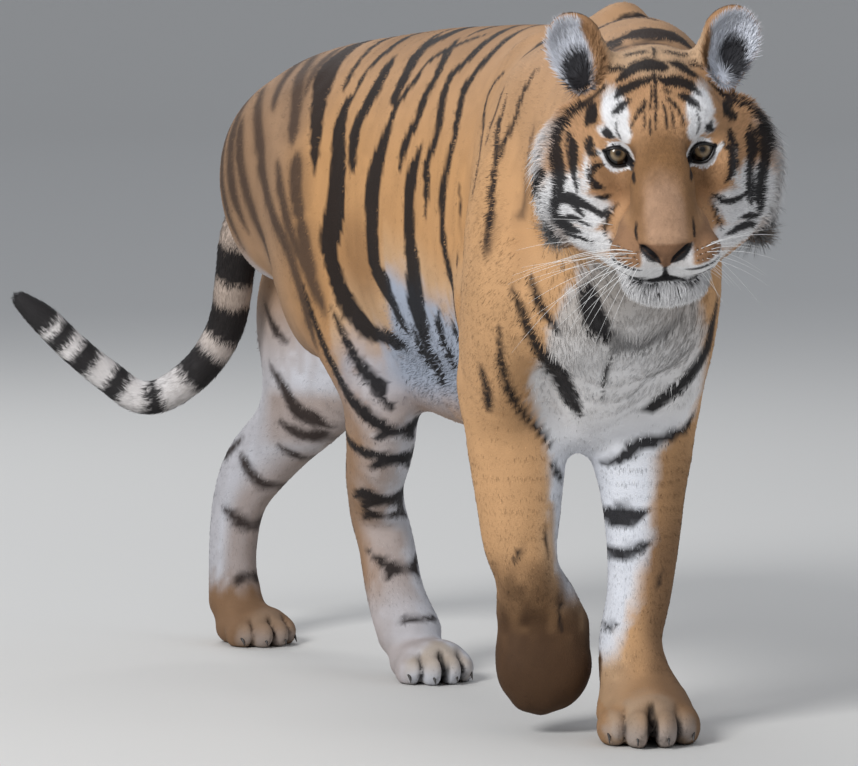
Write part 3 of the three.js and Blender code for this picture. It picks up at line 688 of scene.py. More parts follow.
# ---- markings: strokes on flat charts of the animal in mm (around the body in degrees), each a half width
# and then points, where a point may carry its own half width
stripes = dict(
    # along the spine and degrees round the body from it, both flanks
    flank=[
        (10, (158, 0), (158, 11), (160, 20), (168, 28), (171, 35), (149, 47), (146, 60), (150, 75),
        (146, 91), (133, 109), (99, 125), (70, 138, 5)), (10.5, (222, 0), (222, 10), (228, 22), (248, 30),
        (233, 39), (208, 51), (221, 65), (206, 79), (210, 93, 4)), (4.6, (8, 27), (52, 31), (51, 37),
        (-5, 47), (-56, 62), (-86, 78)), (3.4, (99, 69, 2), (82, 84), (77, 100), (84, 114, 2)), (17,
        (254, 58, 11), (263, 68), (266, 81), (260, 102), (254, 113), (260, 124), (271, 136), (279, 145, 8),
        (250, 153, 5)), (12, (261, 11, 6), (324, 18, 6), (366, 25, 6), (367, 33, 7), (389, 43, 9),
        (390, 56, 13), (399, 70, 25), (402, 84, 26), (400, 103, 22), (391, 118, 14), (353, 130, 10),
        (338, 139, 6)), (11, (339, 15), (300, 30), (301, 39), (295, 47), (309, 57), (312, 70)), (15,
        (407, 0), (407, 10), (430, 19), (414, 30), (409, 39), (402, 42)), (18, (509, 23), (495, 36),
        (508, 45), (513, 55), (491, 72)), (20, (559, 0, 9), (559, 8, 10), (558, 18, 10), (575, 27, 8),
        (569, 36, 6), (580, 41, 13), (581, 50, 17), (549, 74, 28), (548, 95, 30), (560, 108, 23),
        (552, 118, 16), (530, 129, 15), (500, 137, 14), (465, 143, 12), (400, 145, 10), (360, 146, 8)), (18,
        (718, 0, 18), (718, 4, 20), (699, 25, 23), (680, 35, 21), (665, 43, 16), (635, 62, 13),
        (623, 74, 7)), (8, (366, 115, 4), (358, 123), (350, 132), (333, 141)), (7, (187, 131, 3),
        (206, 139), (209, 145), (200, 152)), (7, (305, 138, 4), (307, 146), (292, 151), (257, 156, 4)), (6,
        (150, 137), (140, 147)), (7, (80, 130), (84, 139), (70, 148)), (6, (-93, 34, 3), (-83, 44),
        (-117, 55), (-144, 69), (-166, 84), (-176, 102), (-176, 112, 2)), (5, (-175, 25), (-160, 34),
        (-132, 43), (-126, 51), (-136, 61)), (5, (20, 96, 3), (12, 110), (24, 124, 3)), (4.5, (-181, 128),
        (-168, 136), (-141, 146), (-106, 154), (-78, 161)), (3.4, (-58, 30, 1.6), (-48, 42),
        (-66, 56, 1.6)), (6, (452, 0), (446, 12), (438, 22), (430, 30, 2)), (7, (640, 0), (632, 14),
        (622, 28), (612, 36, 3)), (6, (310, 0), (316, 8), (330, 14, 2)), (8, (60, 0), (58, 10),
        (64, 20, 3)), (7, (-20, 0), (-24, 12), (-30, 22, 3)), (9, (-96, 0), (-104, 10), (-118, 20, 3)), (8,
        (-160, 0), (-166, 6), (-204, 12, 5)), (18, (-276, 0), (-280, 8), (-260, 16, 12), (-235, 22, 6))],
    # the left flank has more on the shoulder and the thigh
    leftFlank=[
        (6, (-20, 44, 3), (-34, 62), (-30, 80), (-52, 98, 3)), (5, (20, 58, 2), (12, 74), (22, 92, 2)), (6,
        (-120, 60, 3), (-150, 84), (-158, 108), (-140, 128, 3)), (5, (44, 96, 2), (36, 112), (48, 130, 2)),
        (9, (720, 84, 4), (694, 100), (676, 116), (690, 134, 4)), (8, (800, 90, 4), (770, 108), (756, 126),
        (770, 140, 4)), (8, (872, 84, 4), (846, 104), (836, 124, 4)), (6, (640, 140, 3), (670, 148),
        (700, 152, 3)), (7, (736, 140, 3), (770, 148), (806, 150, 3))],
    # left and back of the eyes, over the crown
    crown=[
        (7, (-40, 114, 3), (-20, 120), (-4, 120, 4)), (7, (8, 118, 4), (26, 115), (44, 110, 3)), (6,
        (-38, 86, 2.4), (-20, 81), (-6, 78, 3)), (6, (12, 78, 3), (30, 80), (46, 86, 2.4)), (2.6, (0, 62),
        (1, 76), (0, 96))],
    # the flanks' chart, softer and browner: the haunch, the hollow of the flank and the nape
    faded=[
        (11, (815, 12), (741, 38), (717, 51), (701, 61)), (13, (677, 67), (669, 78), (659, 88), (641, 98)),
        (12, (641, 98), (623, 112), (600, 124)), (10, (884, 30), (815, 60), (791, 76), (738, 97),
        (679, 112), (633, 131), (625, 143)), (9, (891, 48), (870, 66), (848, 83), (817, 105), (780, 123)),
        (9, (736, 71), (702, 89), (662, 107), (609, 122), (574, 133)), (8, (860, 4), (840, 22), (800, 44)),
        (8, (760, 6, 4), (742, 20), (716, 40, 4)), (10, (922, 22, 5), (914, 50), (888, 84), (856, 112, 5)),
        (9, (950, 36, 4), (944, 66), (922, 96), (890, 124, 4)), (6, (-312, 0), (-316, 12), (-318, 22)), (4,
        (-164, 83), (-178, 97), (-177, 108)), (5, (-207, 122), (-203, 135), (-198, 148)), (3, (-228, 40),
        (-212, 60), (-204, 84))],
    # side and height, chest and forelegs
    front=[
        (6, (-140, 620, 3), (-130, 595, 4.6), (-118, 563, 5.6), (-97, 527, 6.6), (-66, 496, 7.8),
        (-47, 466, 8.8), (-28, 436, 6)), (5, (-153, 566, 3), (-146, 520, 4), (-134, 485), (-115, 454, 5.6),
        (-87, 424), (-66, 404), (-57, 388, 3)), (4, (-166, 506, 2), (-154, 472), (-146, 442)), (5,
        (-117, 635, 3), (-106, 596), (-92, 574), (-76, 553, 3)), (5, (-56, 366), (-38, 346)), (3,
        (-112, 240), (-106, 251), (-96, 257)), (1.8, (-70, 290), (-66, 264), (-64, 240)), (2.2, (-45, 198),
        (-44, 166), (-40, 140)), (13, (-52, 625, 10), (-46, 599, 13), (-34, 572, 14), (-16, 554, 8)), (8,
        (145, 595, 4), (139, 561, 6), (136, 526), (116, 489), (96, 466, 9), (75, 446, 9), (58, 439, 5)), (7,
        (141, 436, 3), (124, 413, 5), (88, 401), (55, 392, 9), (39, 376, 8), (16, 365, 5)), (14,
        (20, 296, 12), (34, 297, 15), (50, 298, 12), (68, 304, 5)), (7, (22, 257, 5), (30, 249, 8),
        (45, 249, 8), (60, 256, 6), (76, 266, 3)), (4, (12, 149), (28, 152)), (3, (-8, 536, 1), (-12, 494),
        (-7, 462, 1)), (2.4, (90, 224), (84, 206))],
    collar=[
        (13, (-30, 562, 10), (-13, 551, 14), (11, 540, 11), (40, 544, 9), (66, 560, 8), (84, 584, 5))],
    # along and height, each hind leg and thigh
    hindRight=[
        (8, (560, 548, 3), (533, 507, 7), (512, 477, 8), (486, 445, 10), (470, 417, 10), (474, 398, 5)), (9,
        (634, 575, 4), (611, 530, 8), (588, 484, 10), (565, 455, 9), (538, 419, 11), (504, 392, 11),
        (488, 370, 9), (507, 355, 5)), (8, (612, 400, 3), (590, 362, 6), (557, 341), (520, 331), (511, 328),
        (543, 310, 5)), (9, (618, 243, 4), (590, 260), (575, 267), (585, 270), (626, 262, 5)), (5,
        (612, 232), (604, 240), (634, 228, 4)), (5, (641, 181, 3), (616, 168), (606, 160, 6), (600, 152),
        (602, 142, 4)), (4, (572, 88), (562, 84)), (7, (660, 330, 3), (640, 312), (622, 308)), (8,
        (776, 486, 3), (744, 452), (706, 428, 3)), (7, (716, 390, 3), (684, 366), (654, 356, 3))],
    hindLeft=[
        (11, (1029, 425, 5), (991, 392, 9), (968, 360, 12), (940, 346, 12), (925, 334, 6)), (9,
        (1005, 340, 5), (979, 325), (958, 319), (935, 326)), (6, (1011, 303, 3), (996, 290), (985, 284)),
        (8, (1136, 276), (1112, 290), (1088, 308, 5)), (8, (1083, 283), (1066, 262), (1050, 242),
        (1034, 240, 5)), (7, (1104, 204, 4), (1080, 190), (1066, 172)), (5, (1055, 106), (1053, 90)), (8,
        (1046, 520, 3), (1010, 478), (974, 460, 3)), (7, (1130, 330, 3), (1112, 346), (1090, 366, 3))],
    # left and up of the eyes, the face; the last two strokes are the nostrils, whose darkness is painted
    # shade in the openings
    face=[
        (1.9, (-62, 86), (-52, 88), (-36, 92, 1)), (1.4, (44, 90), (54, 88), (65, 83)), (3, (-50, 78, 1.2),
        (-39, 86), (-25, 94), (-6, 97, 3.6), (10, 95, 3.2), (17, 93, 1.2)), (2.6, (16, 98, 1.2), (32, 92),
        (54, 77, 1.4)), (3.4, (-53, 65, 1.6), (-45, 72, 3.6), (-27, 80), (-9, 85, 2.4), (-2, 90, 1.2)),
        (3.6, (-1, 89, 1.2), (10, 83, 3.2), (27, 81, 4), (41, 75, 3.6), (55, 65, 1.6)), (1.3, (6, 76),
        (18, 71)), (3.6, (-57, 49, 2), (-45, 59), (-32, 66, 1.8)), (3.6, (26, 69, 1.8), (39, 63, 4),
        (54, 51, 2)), (1.8, (-2, 90), (-2, 75), (-3, 58), (-5, 35, 0.9)), (1.4, (-16, 65, 3),
        (-19, 58, 2.4), (-29, 48, 1.2), (-36, 30, 0.9)), (1.4, (9, 67), (20, 60, 1.8), (28, 47),
        (31, 29, 0.9)), (1.2, (5, 63), (9, 49), (9, 35)), (1.2, (14, 57), (18, 43), (19, 31)), (1.2,
        (-7, 80), (-7, 72), (-10, 56)), (1.2, (-10, 48), (-12, 30)), (1.1, (-16, 53), (-19, 36)), (3.4,
        (-65, 34, 2), (-65, 27, 5), (-60, 24, 4), (-55, 22, 1.6)), (3.6, (66, 34, 2), (63, 28, 5),
        (64, 25, 4), (70, 23, 1.6)), (1, (-50, 45), (-53, 34), (-48, 20)), (1, (46, 48), (51, 36),
        (46, 22)), (5.2, (-77, 51, 2.6), (-82, 40, 5.4), (-89, 27, 2.6)), (5, (84, 45, 2.4), (88, 37, 5),
        (95, 24, 2.6)), (5, (-109, 15, 4), (-107, 2, 6), (-107, -14, 5), (-106, -26, 3.4), (-104, -38, 2.6),
        (-102, -52, 2.6)), (4, (-84, 17), (-86, 6, 4.6), (-85, -1, 3), (-74, 1, 2)), (3.4, (-69, -13, 1.6),
        (-80, -15, 3.6), (-87, -22), (-85, -31, 3.2), (-80, -37, 4.4), (-71, -40, 2.2)), (2.6,
        (-80, -51, 1.4), (-73, -52), (-64, -51)), (4.6, (-62, 72, 1.8), (-76, 59, 2.2), (-90, 47, 3),
        (-105, 36, 3.4), (-117, 22, 4), (-123, 5, 4.6), (-125, -12, 6), (-123, -32, 6.6), (-124, -54, 5),
        (-129, -80, 5), (-128, -102, 4)), (4.4, (-126, -70, 3), (-113, -62, 7), (-104, -62, 7),
        (-92, -65, 4.4), (-79, -72, 3), (-72, -74), (-66, -65, 1.4)), (3, (-108, -64, 5), (-101, -74, 4),
        (-95, -82, 1.6)), (1.6, (-71, -102), (-72, -90), (-67, -78), (-55, -60, 1)), (5, (-125, -86, 4),
        (-120, -97, 7), (-112, -102, 6), (-100, -105, 3)), (3, (-118, -88, 4), (-103, -87),
        (-88, -92, 1.2)), (2.4, (-120, -112, 3), (-100, -113), (-84, -112, 1.2)), (4.6, (-142, -28, 3),
        (-144, -38, 5), (-146, -50, 2)), (2.4, (68, 69, 1.4), (79, 57, 2.2), (91, 46, 3), (111, 37, 3.4),
        (123, 24, 4), (128, 9, 5), (131, -8, 6), (129, -30, 6), (124, -52, 6), (121, -72, 6.5),
        (122, -96, 5)), (4.6, (111, 16, 2.4), (113, 2, 5), (114, -14, 5), (110, -34, 4), (109, -58, 4.4),
        (110, -82, 3)), (3.2, (86, 18, 2), (90, 8, 4), (92, 2), (97, -8, 1.4)), (4, (78, 5, 1.6),
        (87, -4, 3), (90, -16, 4.6), (88, -28), (79, -41, 1.6)), (3.2, (64, -54, 1.4), (72, -61),
        (80, -66, 3.6), (93, -65), (107, -62, 4)), (1.6, (60, -59), (66, -74), (69, -88), (74, -102, 1)),
        (3.6, (76, -110, 1.4), (88, -106), (102, -106, 5), (116, -112, 3)), (3, (96, -92, 1.6),
        (108, -96, 4), (120, -100, 2.6)), (1.6, (117, 10), (120, -2), (121, -20)), (1.5, (-68, -106),
        (-56, -111), (-32, -117, 0.9)), (1, (-62, -121), (-44, -129), (-26, -134)), (1.5, (22, -119, 0.9),
        (41, -117), (67, -110)), (1, (30, -132), (58, -121)), (2.2, (-3, -110, 3), (-2, -122, 1.8),
        (-2, -132, 3.4), (-2, -137, 5)), (2.6, (-27, -141, 1.4), (-14, -139), (-2, -136, 3.4), (12, -138),
        (26, -143, 1.4)), (1.3, (-27, -141), (-42, -139), (-55, -130)), (1.3, (26, -143), (40, -139),
        (54, -129)), (1.3, (-14, -146), (-9, -151)), (1.2, (12, -148), (16, -153)), (1.1, (-24, -146),
        (-27, -150)), (1.4, (-36, -79), (-37, -70), (-35, -58, 0.8)), (1.4, (35, -78), (35, -68),
        (34, -56, 0.8)), (5.4, (-33, -84, 2), (-28, -88, 4.6), (-20, -96, 5.8), (-9, -106, 4)), (5.4,
        (31, -84, 2), (26, -88, 4.6), (17, -97, 5.8), (5, -106, 4))])
# the tail's dark rings: share of its length and half width in shares, and where the dark tip starts
tailRings = dict(tip=0.9, rings=[
    (0.06, 0.012), (0.12, 0.014), (0.19, 0.016), (0.3, 0.031), (0.405, 0.034), (0.507, 0.032), (0.625, 0.024),
    (0.728, 0.02), (0.81, 0.02), (0.868, 0.016)])

degreeWide = 4  # millimetres on the flanks' chart for a degree round the body


def widened(half, *rows):
    return (half, *[(along, around * degreeWide, *own) for along, around, *own in rows])


flankStrokes = {name: [widened(*stroke) for stroke in stripes[name]]
                for name in ("flank", "leftFlank", "faded")}
# several hues also serve as painted shade: belly on the white underside, throat under the chin, the ear cup's
# near-black, and partly rump, grey, foot and paw on the far and lifted legs
coatHues = dict(
    orange=linear("#bd8f60"), back=linear("#ab8766"), shoulder=linear("#c0966c"), rump=linear("#9b7d63"),
    hollow=linear("#84603f"), bridge=linear("#a6856c"), bridgeTop=linear("#7a5837"), crown=linear("#b68c66"),
    pale=linear("#cbb193"), white=linear("#e6e5e6"), cool=linear("#cfd3dc"), dark=linear("#141215"),
    faded=linear("#3d302a"), paw=linear("#4a3423"), shin=linear("#967b66"), grey=linear("#a3a4aa"),
    earHair=linear("#e0e5f0"), earCupShade=linear("#1b191c"), pad=linear("#8f6c51"), leather=linear("#7c5c45"),
    belly=linear("#9fa7b6"), shadedThroat=linear("#978c81"), toe=linear("#b5a695"), shinPale=linear("#c6c6cc"),
    foot=linear("#85674d"))


def strokeMask(spots, strokes, ragged, soft=1.2, grow=1):
    # 1 on the strokes of a chart, 0 off them, each tapered to both ends
    mask = np.zeros(len(spots))
    for half, *points in strokes:
        rows = np.array([(*point, half)[:3] for point in points], float)
        room = 1.8 * rows[:, 2].max() + 6
        low, high = rows[:, :2].min(0) - room, rows[:, :2].max(0) + room
        near = np.flatnonzero(np.all((spots > low) & (spots < high), axis=1))
        if not len(near):
            continue
        away, share = strokeNear(spots[near], rows[:, :2])
        width = np.interp(share, np.linspace(0, 1, len(rows)), rows[:, 2])
        width = width * np.broadcast_to(grow, len(spots))[near]
        width *= 1 - 0.6 * np.abs(2 * share - 1) ** 6
        edge = away - width + ragged[near] * np.minimum(width, 5)
        mask[near] = np.maximum(mask[near], step(soft, -soft, edge))
    return mask


def whiteFront(side, height):
    levels = [60, 100, 140, 180, 220, 260, 300, 340, 380, 400, 430, 460, 500, 540, 580, 620, 700]
    left = [8, 17, 33, 50, 62, 72, 78, 80, 84, 100, 146, 150, 145, 134, 120, 108, 90]
    right = [-30, -34, -38, -42, -50, -53, -54, -55, -58, -64, -78, -95, -100, -92, -84, -62, -40]
    return np.minimum(step(13, -15, side - np.interp(height, levels, left)),
                      step(-8, 10, side - np.interp(height, levels, right)))


def washed(colour, *washes):
    # one hue after another over the colour, each with its amount
    for hue, amount in washes:
        colour = colour + (coatHues[hue] - colour) * np.clip(amount, 0, 1)[:, None]
    return colour


dotGap = 7  # mm between the dots of a whisker row


def faceColour(colour, points, at, face, grain, rag):
    x, y, z = at["head"].T
    rx, rz = x + 3 * grain, z + 2 * rag
    far = np.abs(rx)

    def spot(cx, cz, wx, wz, soft=0.22):
        return step(1 + soft, 1 - soft, np.hypot((rx - cx) / wx, (rz - cz) / wz))

    def pairOf(cx, cz, wx, wz, soft=0.22):
        return np.maximum(spot(-cx, cz, wx, wz, soft), spot(cx, cz, wx, wz, soft))
    cheekFrom = np.interp(rz, [-95, -91, -73, -54, -40], [80, 77, 67, 55, 48])
    white = np.max([
        step(-3, 5, far - cheekFrom) * pairOf(95, -74, 34, 25), pairOf(52, 50, 17, 23),
        pairOf(44, 28, 9, 15), pairOf(60, 29, 14, 9), pairOf(104, -46, 10, 26), pairOf(91, -28, 3.5, 24, 0.5),
        pairOf(122, -70, 22, 40), pairOf(94, -108, 30, 24) * step(-90, -100, z)], axis=0)
    # pads of the upper lip: brown with dots at the whiskers' roots, white by the nose and below
    padLine = np.interp(far, [30, 36, 52, 70, 80], [-114, -113, -109, -102, -96])
    muzzle = face * step(-56, -64, y) * step(84, 78, far)
    colour = washed(
        colour, ("crown", face), ("bridgeTop", face * spot(0, 2, 36, 34, 0.5) * 0.9),
        ("bridge", face * spot(0, -52, 33, 44, 0.4) * 0.9),
        # dark bands down both sides of the nose bridge, from the inner eye to the nose: painted shade
        ("bridgeTop", face * pairOf(35, -34, 11, 46, 0.7) * 0.8),
        ("hollow", face * pairOf(68, -30, 18, 16, 0.5) * 0.55), ("white", face * white),
        ("pad", muzzle * pairOf(55, -92, 24, 24, 0.3) * 0.85),
        ("white", muzzle * step(-82, -86, z) * step(36, 30, far) * 0.9),
        ("white", muzzle * step(1, -2, rz - padLine) * step(-80, -86, z)),
        # the pale wash on the top of the head is painted light from above
        ("white", face * step(-128, -136, z) * step(0, -10, y)), ("pale", face * step(78, 96, z) * 0.5))
    for row in range(3):
        column = (far - 38 - 3 * (row % 2)) / dotGap
        dot = np.hypot((column - np.round(column)) * dotGap, z - (-93 - 6.5 * row + 0.14 * (far - 38)))
        inRow = step(-1, 0, column) * step(4.5, 4, column)
        colour = washed(colour, ("dark", muzzle * step(1.9, 0.9, dot) * inRow * 0.75))
    # white ring round each eye
    for sign in (1, -1):
        q = eyeFrame(points, sign)
        near = step(34, 26, np.linalg.norm(q, axis=1)) * face
        whiteness = 1 - step(14, 20, q[:, 0]) * step(-4, 2, q[:, 2])
        colour = washed(colour, ("white", near * step(10.5, 8.5, lidDistance(q) + rag) * whiteness))
    return colour


def lidDistance(q):
    upper, lower = lidEdge(q[:, 0])
    past = np.maximum(np.abs(q[:, 0]) - eyeSizes["width"] / 2, 0)
    return np.hypot(np.maximum(np.maximum(q[:, 2] - upper, lower - q[:, 2]), 0), past)


def rimColour(colour, points, face, rag):
    # black rims, thicker above, with a tear line at the inner corner
    for sign in (1, -1):
        q = eyeFrame(points, sign)
        near = step(40, 34, np.linalg.norm(q, axis=1)) * face
        thick = 3.2 + 0.9 * step(0, 8, q[:, 2]) + 1.4 * step(-8, -16, q[:, 0])
        tear, down = strokeNear(inHead(points)[:, [0, 2]] * (sign, 1), [(38, -12), (36, -16), (36, -20)])
        colour = washed(colour, ("dark", near * step(0.9, -0.9, lidDistance(q) + 0.7 * rag - thick)),
                        ("dark", face * step(1.6, -1.4, tear + 0.6 * rag - 4.6 + 3.4 * down) * 0.92))
    return colour


def noseColour(colour, at, face):
    x, y, z = at["head"].T
    noseEdge = np.interp(z, [-115, -106, -98, -90, -84, -79], [3, 9, 17, 26, 32, 30])
    nose = step(-60, -80, y) * step(2, -1, np.abs(x + 2) - noseEdge) * step(-118, -114, z)
    at["nose"] = nose * step(-78, -82, z + 0.0016 * x * x) * face
    return washed(colour, ("leather", at["nose"]))


def earHollow(head):
    x, _, z = head.T
    left = x > 0
    return step(1.3, 0.7, np.hypot((np.abs(x) - 95 - 6 * left) / 17, (z - 78 - 10 * left) / 25))


def earColour(colour, normals, at, grain):
    x, _, z = at["head"].T
    far = np.abs(x) + 2 * grain
    hollow = earHollow(at["head"] + 3 * grain[:, None])
    behind = at["ear"] * step(-0.15, 0.2, (normals @ skullWay)[:, 1]) * step(0.6, 0.2, at["cup"])
    # the edge towards the crown is orange, wider on the ear that is turned away
    innerRight = np.interp(z, [70, 100, 130, 160], [78, 80, 87, 94])
    inner = np.where(x < 0, innerRight, np.interp(z, [80, 150], [70, 75]))
    cup = at["cup"] * step(-3, 3, far - inner)
    hair = 1.5 - 0.4 * np.abs(softNoise(at["head"], 7, 9))
    return washed(colour, ("hollow", at["ear"] * (1 - cup) * 0.35), ("earHair", cup),
                  # near-black deep in the ear's cup, broken by its hairs: painted shade
                  ("earCupShade", cup * np.clip(hollow * hair, 0, 1)), ("dark", behind),
                  ("white", behind * step(1.2, 0.8, np.hypot((far - 101) / 16, (z - 118) / 13))))


pawLight = dict(foreLeft=0.3, hindRight=0.8, hindLeft=0.22)  # how pale the toes are, less on the far, left paws: painted shade


def pawColour(colour, body, at, grain):
    for name in clefts:
        away, front, q = toeGaps(body, name)
        x, y, z = q.T
        near = at["paw"] * (np.linalg.norm(q - (0, -10, 20), axis=1) < 120)
        light = pawLight[name]
        wide = np.interp(z, [0, 30, 50, 58], [1, 0.9, 0.5, 0.1])[:, None] * np.array(clefts[name])
        cleft = step(1.8, -1.4, (away - wide).min(1) + grain)
        colour = washed(colour, ("toe", near * step(-28, -50, y + 0.3 * np.abs(x) + 6 * grain) * light),
                        ("cool", near * step(-48, -66, y + 10 * grain) * step(44, 14, z) * light),
                        # the clefts between the toes and the paw's lowest mm by the floor darkened: painted
                        # shade
                        ("dark", near * front * cleft * 0.9), ("dark", near * step(9, 3, z) * 0.5))
    return colour


# where the white underneath begins: how far along, and degrees round the body from the spine
underLine = dict(along=[-300, -137, -79, 60, 154, 208, 238, 318, 352, 372, 400, 470, 525, 560, 620, 700, 900],
                 around=[122, 127, 124, 128, 131, 125, 119, 118, 115, 128, 141, 144, 139, 146, 158, 172, 176])
# the rear edge of the thigh's tan: height, and how far along
thighLine = dict(height=[330, 360, 400, 460, 525, 600], along=[628, 640, 675, 742, 838, 880])


def coatColour(points, normals, at):
    body, head = at["body"], at["head"]
    side, along, height, around = at["side"], at["along"], at["height"], at["around"]
    foreLeg, hindLeg, lifted, onTail = at["foreLeg"], at["hindLeg"], at["lifted"], at["tail"]
    blotch, grain, rag = softNoise(points, 0.11, 1), softNoise(points, 0.012, 2), softNoise(points, 0.006, 3)
    left = at["leftLimb"] > 0.5

    def facing(way):
        return (normals * bodyWay(points, np.tile(way, (len(points), 1)))).sum(1)
    inward = np.where(left, -1, 1) * facing([1.0, 0, 0])
    forward = -facing([0, 1.0, 0])
    offHead = 1 - at["inHead"]
    off = offHead * (1 - onTail)
    ridge = step(34, 8, around) * step(100, 240, along) * step(700, 560, along)
    colour = washed(
        np.tile(coatHues["orange"], (len(points), 1)),
        ("shoulder", step(60, -60, along) * 0.7), ("back", step(75, 15, around) * 0.8 + 0.2 * blotch),
        # the rump darker and browner: a browner coat with painted shade
        ("rump", step(600, 760, along) * off * 0.85), ("bridgeTop", ridge * off * (0.55 + 0.25 * blotch)),
        # the hollow of the flank before the thigh darkened: painted shade
        ("hollow", off * step(1.3, 0.5, np.hypot((along - 470) / 75, (around - 118) / 26)) * 0.55))
    # white underneath, inside the legs and on the chest; the underside's white is greyed to blue-grey by the
    # belly hue, painted shade
    whiteFrom = np.interp(along, underLine["along"], underLine["around"])
    offLegs = 1 - np.maximum(foreLeg, hindLeg)
    offUpperLeg = 1 - step(62, 92, np.abs(side)) * step(120, 60, along) * step(620, 580, height)
    under = step(-8, 11, around - whiteFrom + 4 * grain + 3 * blotch) * offUpperLeg
    fringe = step(-26, 2, around - whiteFrom) * (1 - under) * offUpperLeg * offLegs * (along < 560)
    frontZone = step(-50, -100, along) * step(680, 640, height) * offHead
    frontZone = np.max([frontZone, foreLeg, step(30, -20, along) * step(600, 540, height) * off], axis=0)
    front = whiteFront(side + 7 * grain + 5 * blotch, height) * (1 - lifted * step(210, 165, height))
    front *= 1 - foreLeg * step(125, 90, height + 12 * grain) * step(-26, -10, side)
    # the white under the chin greyed to tan: painted shade from the chin
    shadedThroat = frontZone * front * step(500, 640, height + 0.4 * np.abs(side - 20)) * (1 - foreLeg)
    colour = washed(
        colour, ("belly", under * offLegs * off * (along < 960)), ("pale", off * fringe * 0.5),
        ("shoulder", frontZone * (1 - front)), ("white", frontZone * front), ("shadedThroat", shadedThroat * 0.75),
        ("pale", foreLeg * (1 - front) * step(0.1, 0.8, inward) * 0.5))
    # hind legs: tan outside, pale inside and in front; the far one greyer and darker, painted shade
    hind = step(420, 520, along) * step(640, 520, height) * off
    shin = np.maximum(hindLeg, hind * step(560, 380, height))
    paleFront = np.interp(height, [0, 120, 250, 350, 440, 520], [0.9, 0.6, 0.5, 0.7, 1, 0])
    pale = step(-0.2, 0.7, inward + 0.3 * grain) + step(-0.1, 0.8, forward + 0.2 * grain) * paleFront
    knee = step(400, 370, height) * step(280, 320, height) * step(1060, 1010, along)
    knee = np.maximum(knee, step(0.1, 0.7, forward) * step(330, 280, height))
    behindThigh = np.interp(height, thighLine["height"], thighLine["along"])
    behind = step(-10, 14, along - behindThigh + 6 * grain) * step(320, 370, height)
    onFloor = foreLeg * (1 - lifted)
    colour = washed(
        # on the far, left hind leg the knee and front turn tan, the shin greyer and the foot browner: painted
        # shade
        colour, ("shin", shin * 0.8), ("shinPale", shin * pale * 0.85), ("shin", shin * left * knee * 0.75),
        ("grey", shin * left * step(460, 300, height) * 0.3),
        ("shinPale", shin * ~left * step(150, 90, height) * 0.6), ("cool", hind * (side < 0) * behind * 0.95),
        ("foot", (along > 250) * hindLeg * step(115, 70, height + 12 * grain) * left),
        # the far, left foreleg darker brown on its outer side and towards its foot: painted shade
        ("foot", foreLeg * (along < 250) * step(45, 80, side) * step(330, 240, height) * 0.6),
        ("paw", onFloor * step(52, 84, side) * (1 - front) * step(520, 330, height) * 0.4),
        ("foot", onFloor * step(130, 70, height + 12 * grain) * 0.5), ("cool", foreLeg * front * 0.8),
        # the lifted forepaw dark brown towards its sole: its own brown with painted shade beneath it
        ("paw", foreLeg * lifted * step(300, 110, height + 26 * grain + 20 * blotch) * 0.97))
    colour = pawColour(colour, body, at, grain)
    share = tail["near"](body, True)[2]
    colour = washed(colour, ("pale", onTail * step(0.0, 0.1, share) * 0.6),
                    ("grey", onTail * step(0.0, 0.25, share) * 0.5),
                    ("white", onTail * step(0.35, 0.6, share) * 0.75), ("crown", at["inHead"]))
    face = at["inHead"] * step(150, 120, head[:, 1]) * (1 - at["ear"])
    colour = faceColour(colour, points, at, face, grain, rag)
    rough = np.abs(head[:, 0]) + 5 * grain
    jaw = step(-135, -160, head[:, 2]) * step(-70, -40, head[:, 1])
    # stripes
    ragged = 0.16 * grain + 0.14 * rag
    swayed = along + (side > 0) * (22 * softNoise(body, 170, 5) - 8)
    flank = np.column_stack([swayed + 2 * grain, around * degreeWide])
    torso = off * (1 - frontZone) * step(345, 385, height)
    faceChart = head[:, [0, 2]]
    crown = at["inHead"] * (1 - at["ear"]) * step(86, 92, head[:, 2])
    broader = 1.14 + 0.6 * step(100, 125, around) * (along > 150) * (along < 430)
    spot = share + 0.003 * grain + 0.004 * rag + 0.006 * blotch
    rings = [step(0.005, -0.005, np.abs(spot - place) - half) for place, half in tailRings["rings"]]
    legs = hind.round()
    dark = np.max([
        strokeMask(flank, flankStrokes["leftFlank"], ragged, 2.0, 1.1) * torso * (side > 0),
        strokeMask(flank, flankStrokes["flank"], ragged, 2.0, broader) * torso,
        strokeMask(body[:, [0, 2]], stripes["front"], ragged * 0.7, 2.6, 1.1) * frontZone,
        strokeMask(body[:, [1, 2]], stripes["hindRight"], ragged, 2.6, 1.1) * legs * ~left,
        strokeMask(body[:, [1, 2]], stripes["hindLeft"], ragged, 5, 1.1) * legs * left,
        strokeMask(faceChart, stripes["face"], ragged * 0.5, 0.9, 1.3) * face,
        strokeMask(head[:, :2], stripes["crown"], ragged, 2.0) * crown,
        onTail * np.max([*rings, step(tailRings["tip"] - 0.006, tailRings["tip"], spot)], axis=0)], axis=0)
    colour = washed(
        colour, ("white", at["ruff"] * step(46, 10, head[:, 2]) * step(108, 120, rough)),
        # the throat hue under the jaw: painted shade from the chin
        ("shadedThroat", at["inHead"] * jaw * 0.8),
        ("dark", strokeMask(body[:, [0, 2]], stripes["collar"], ragged, 6) * frontZone * 0.6),
        ("faded", strokeMask(flank, flankStrokes["faded"], ragged * 0, 22.0, 3.2) * torso * 0.3),
        ("faded", strokeMask(flank, flankStrokes["faded"], ragged, 7.0, 1.4) * torso * 0.85))
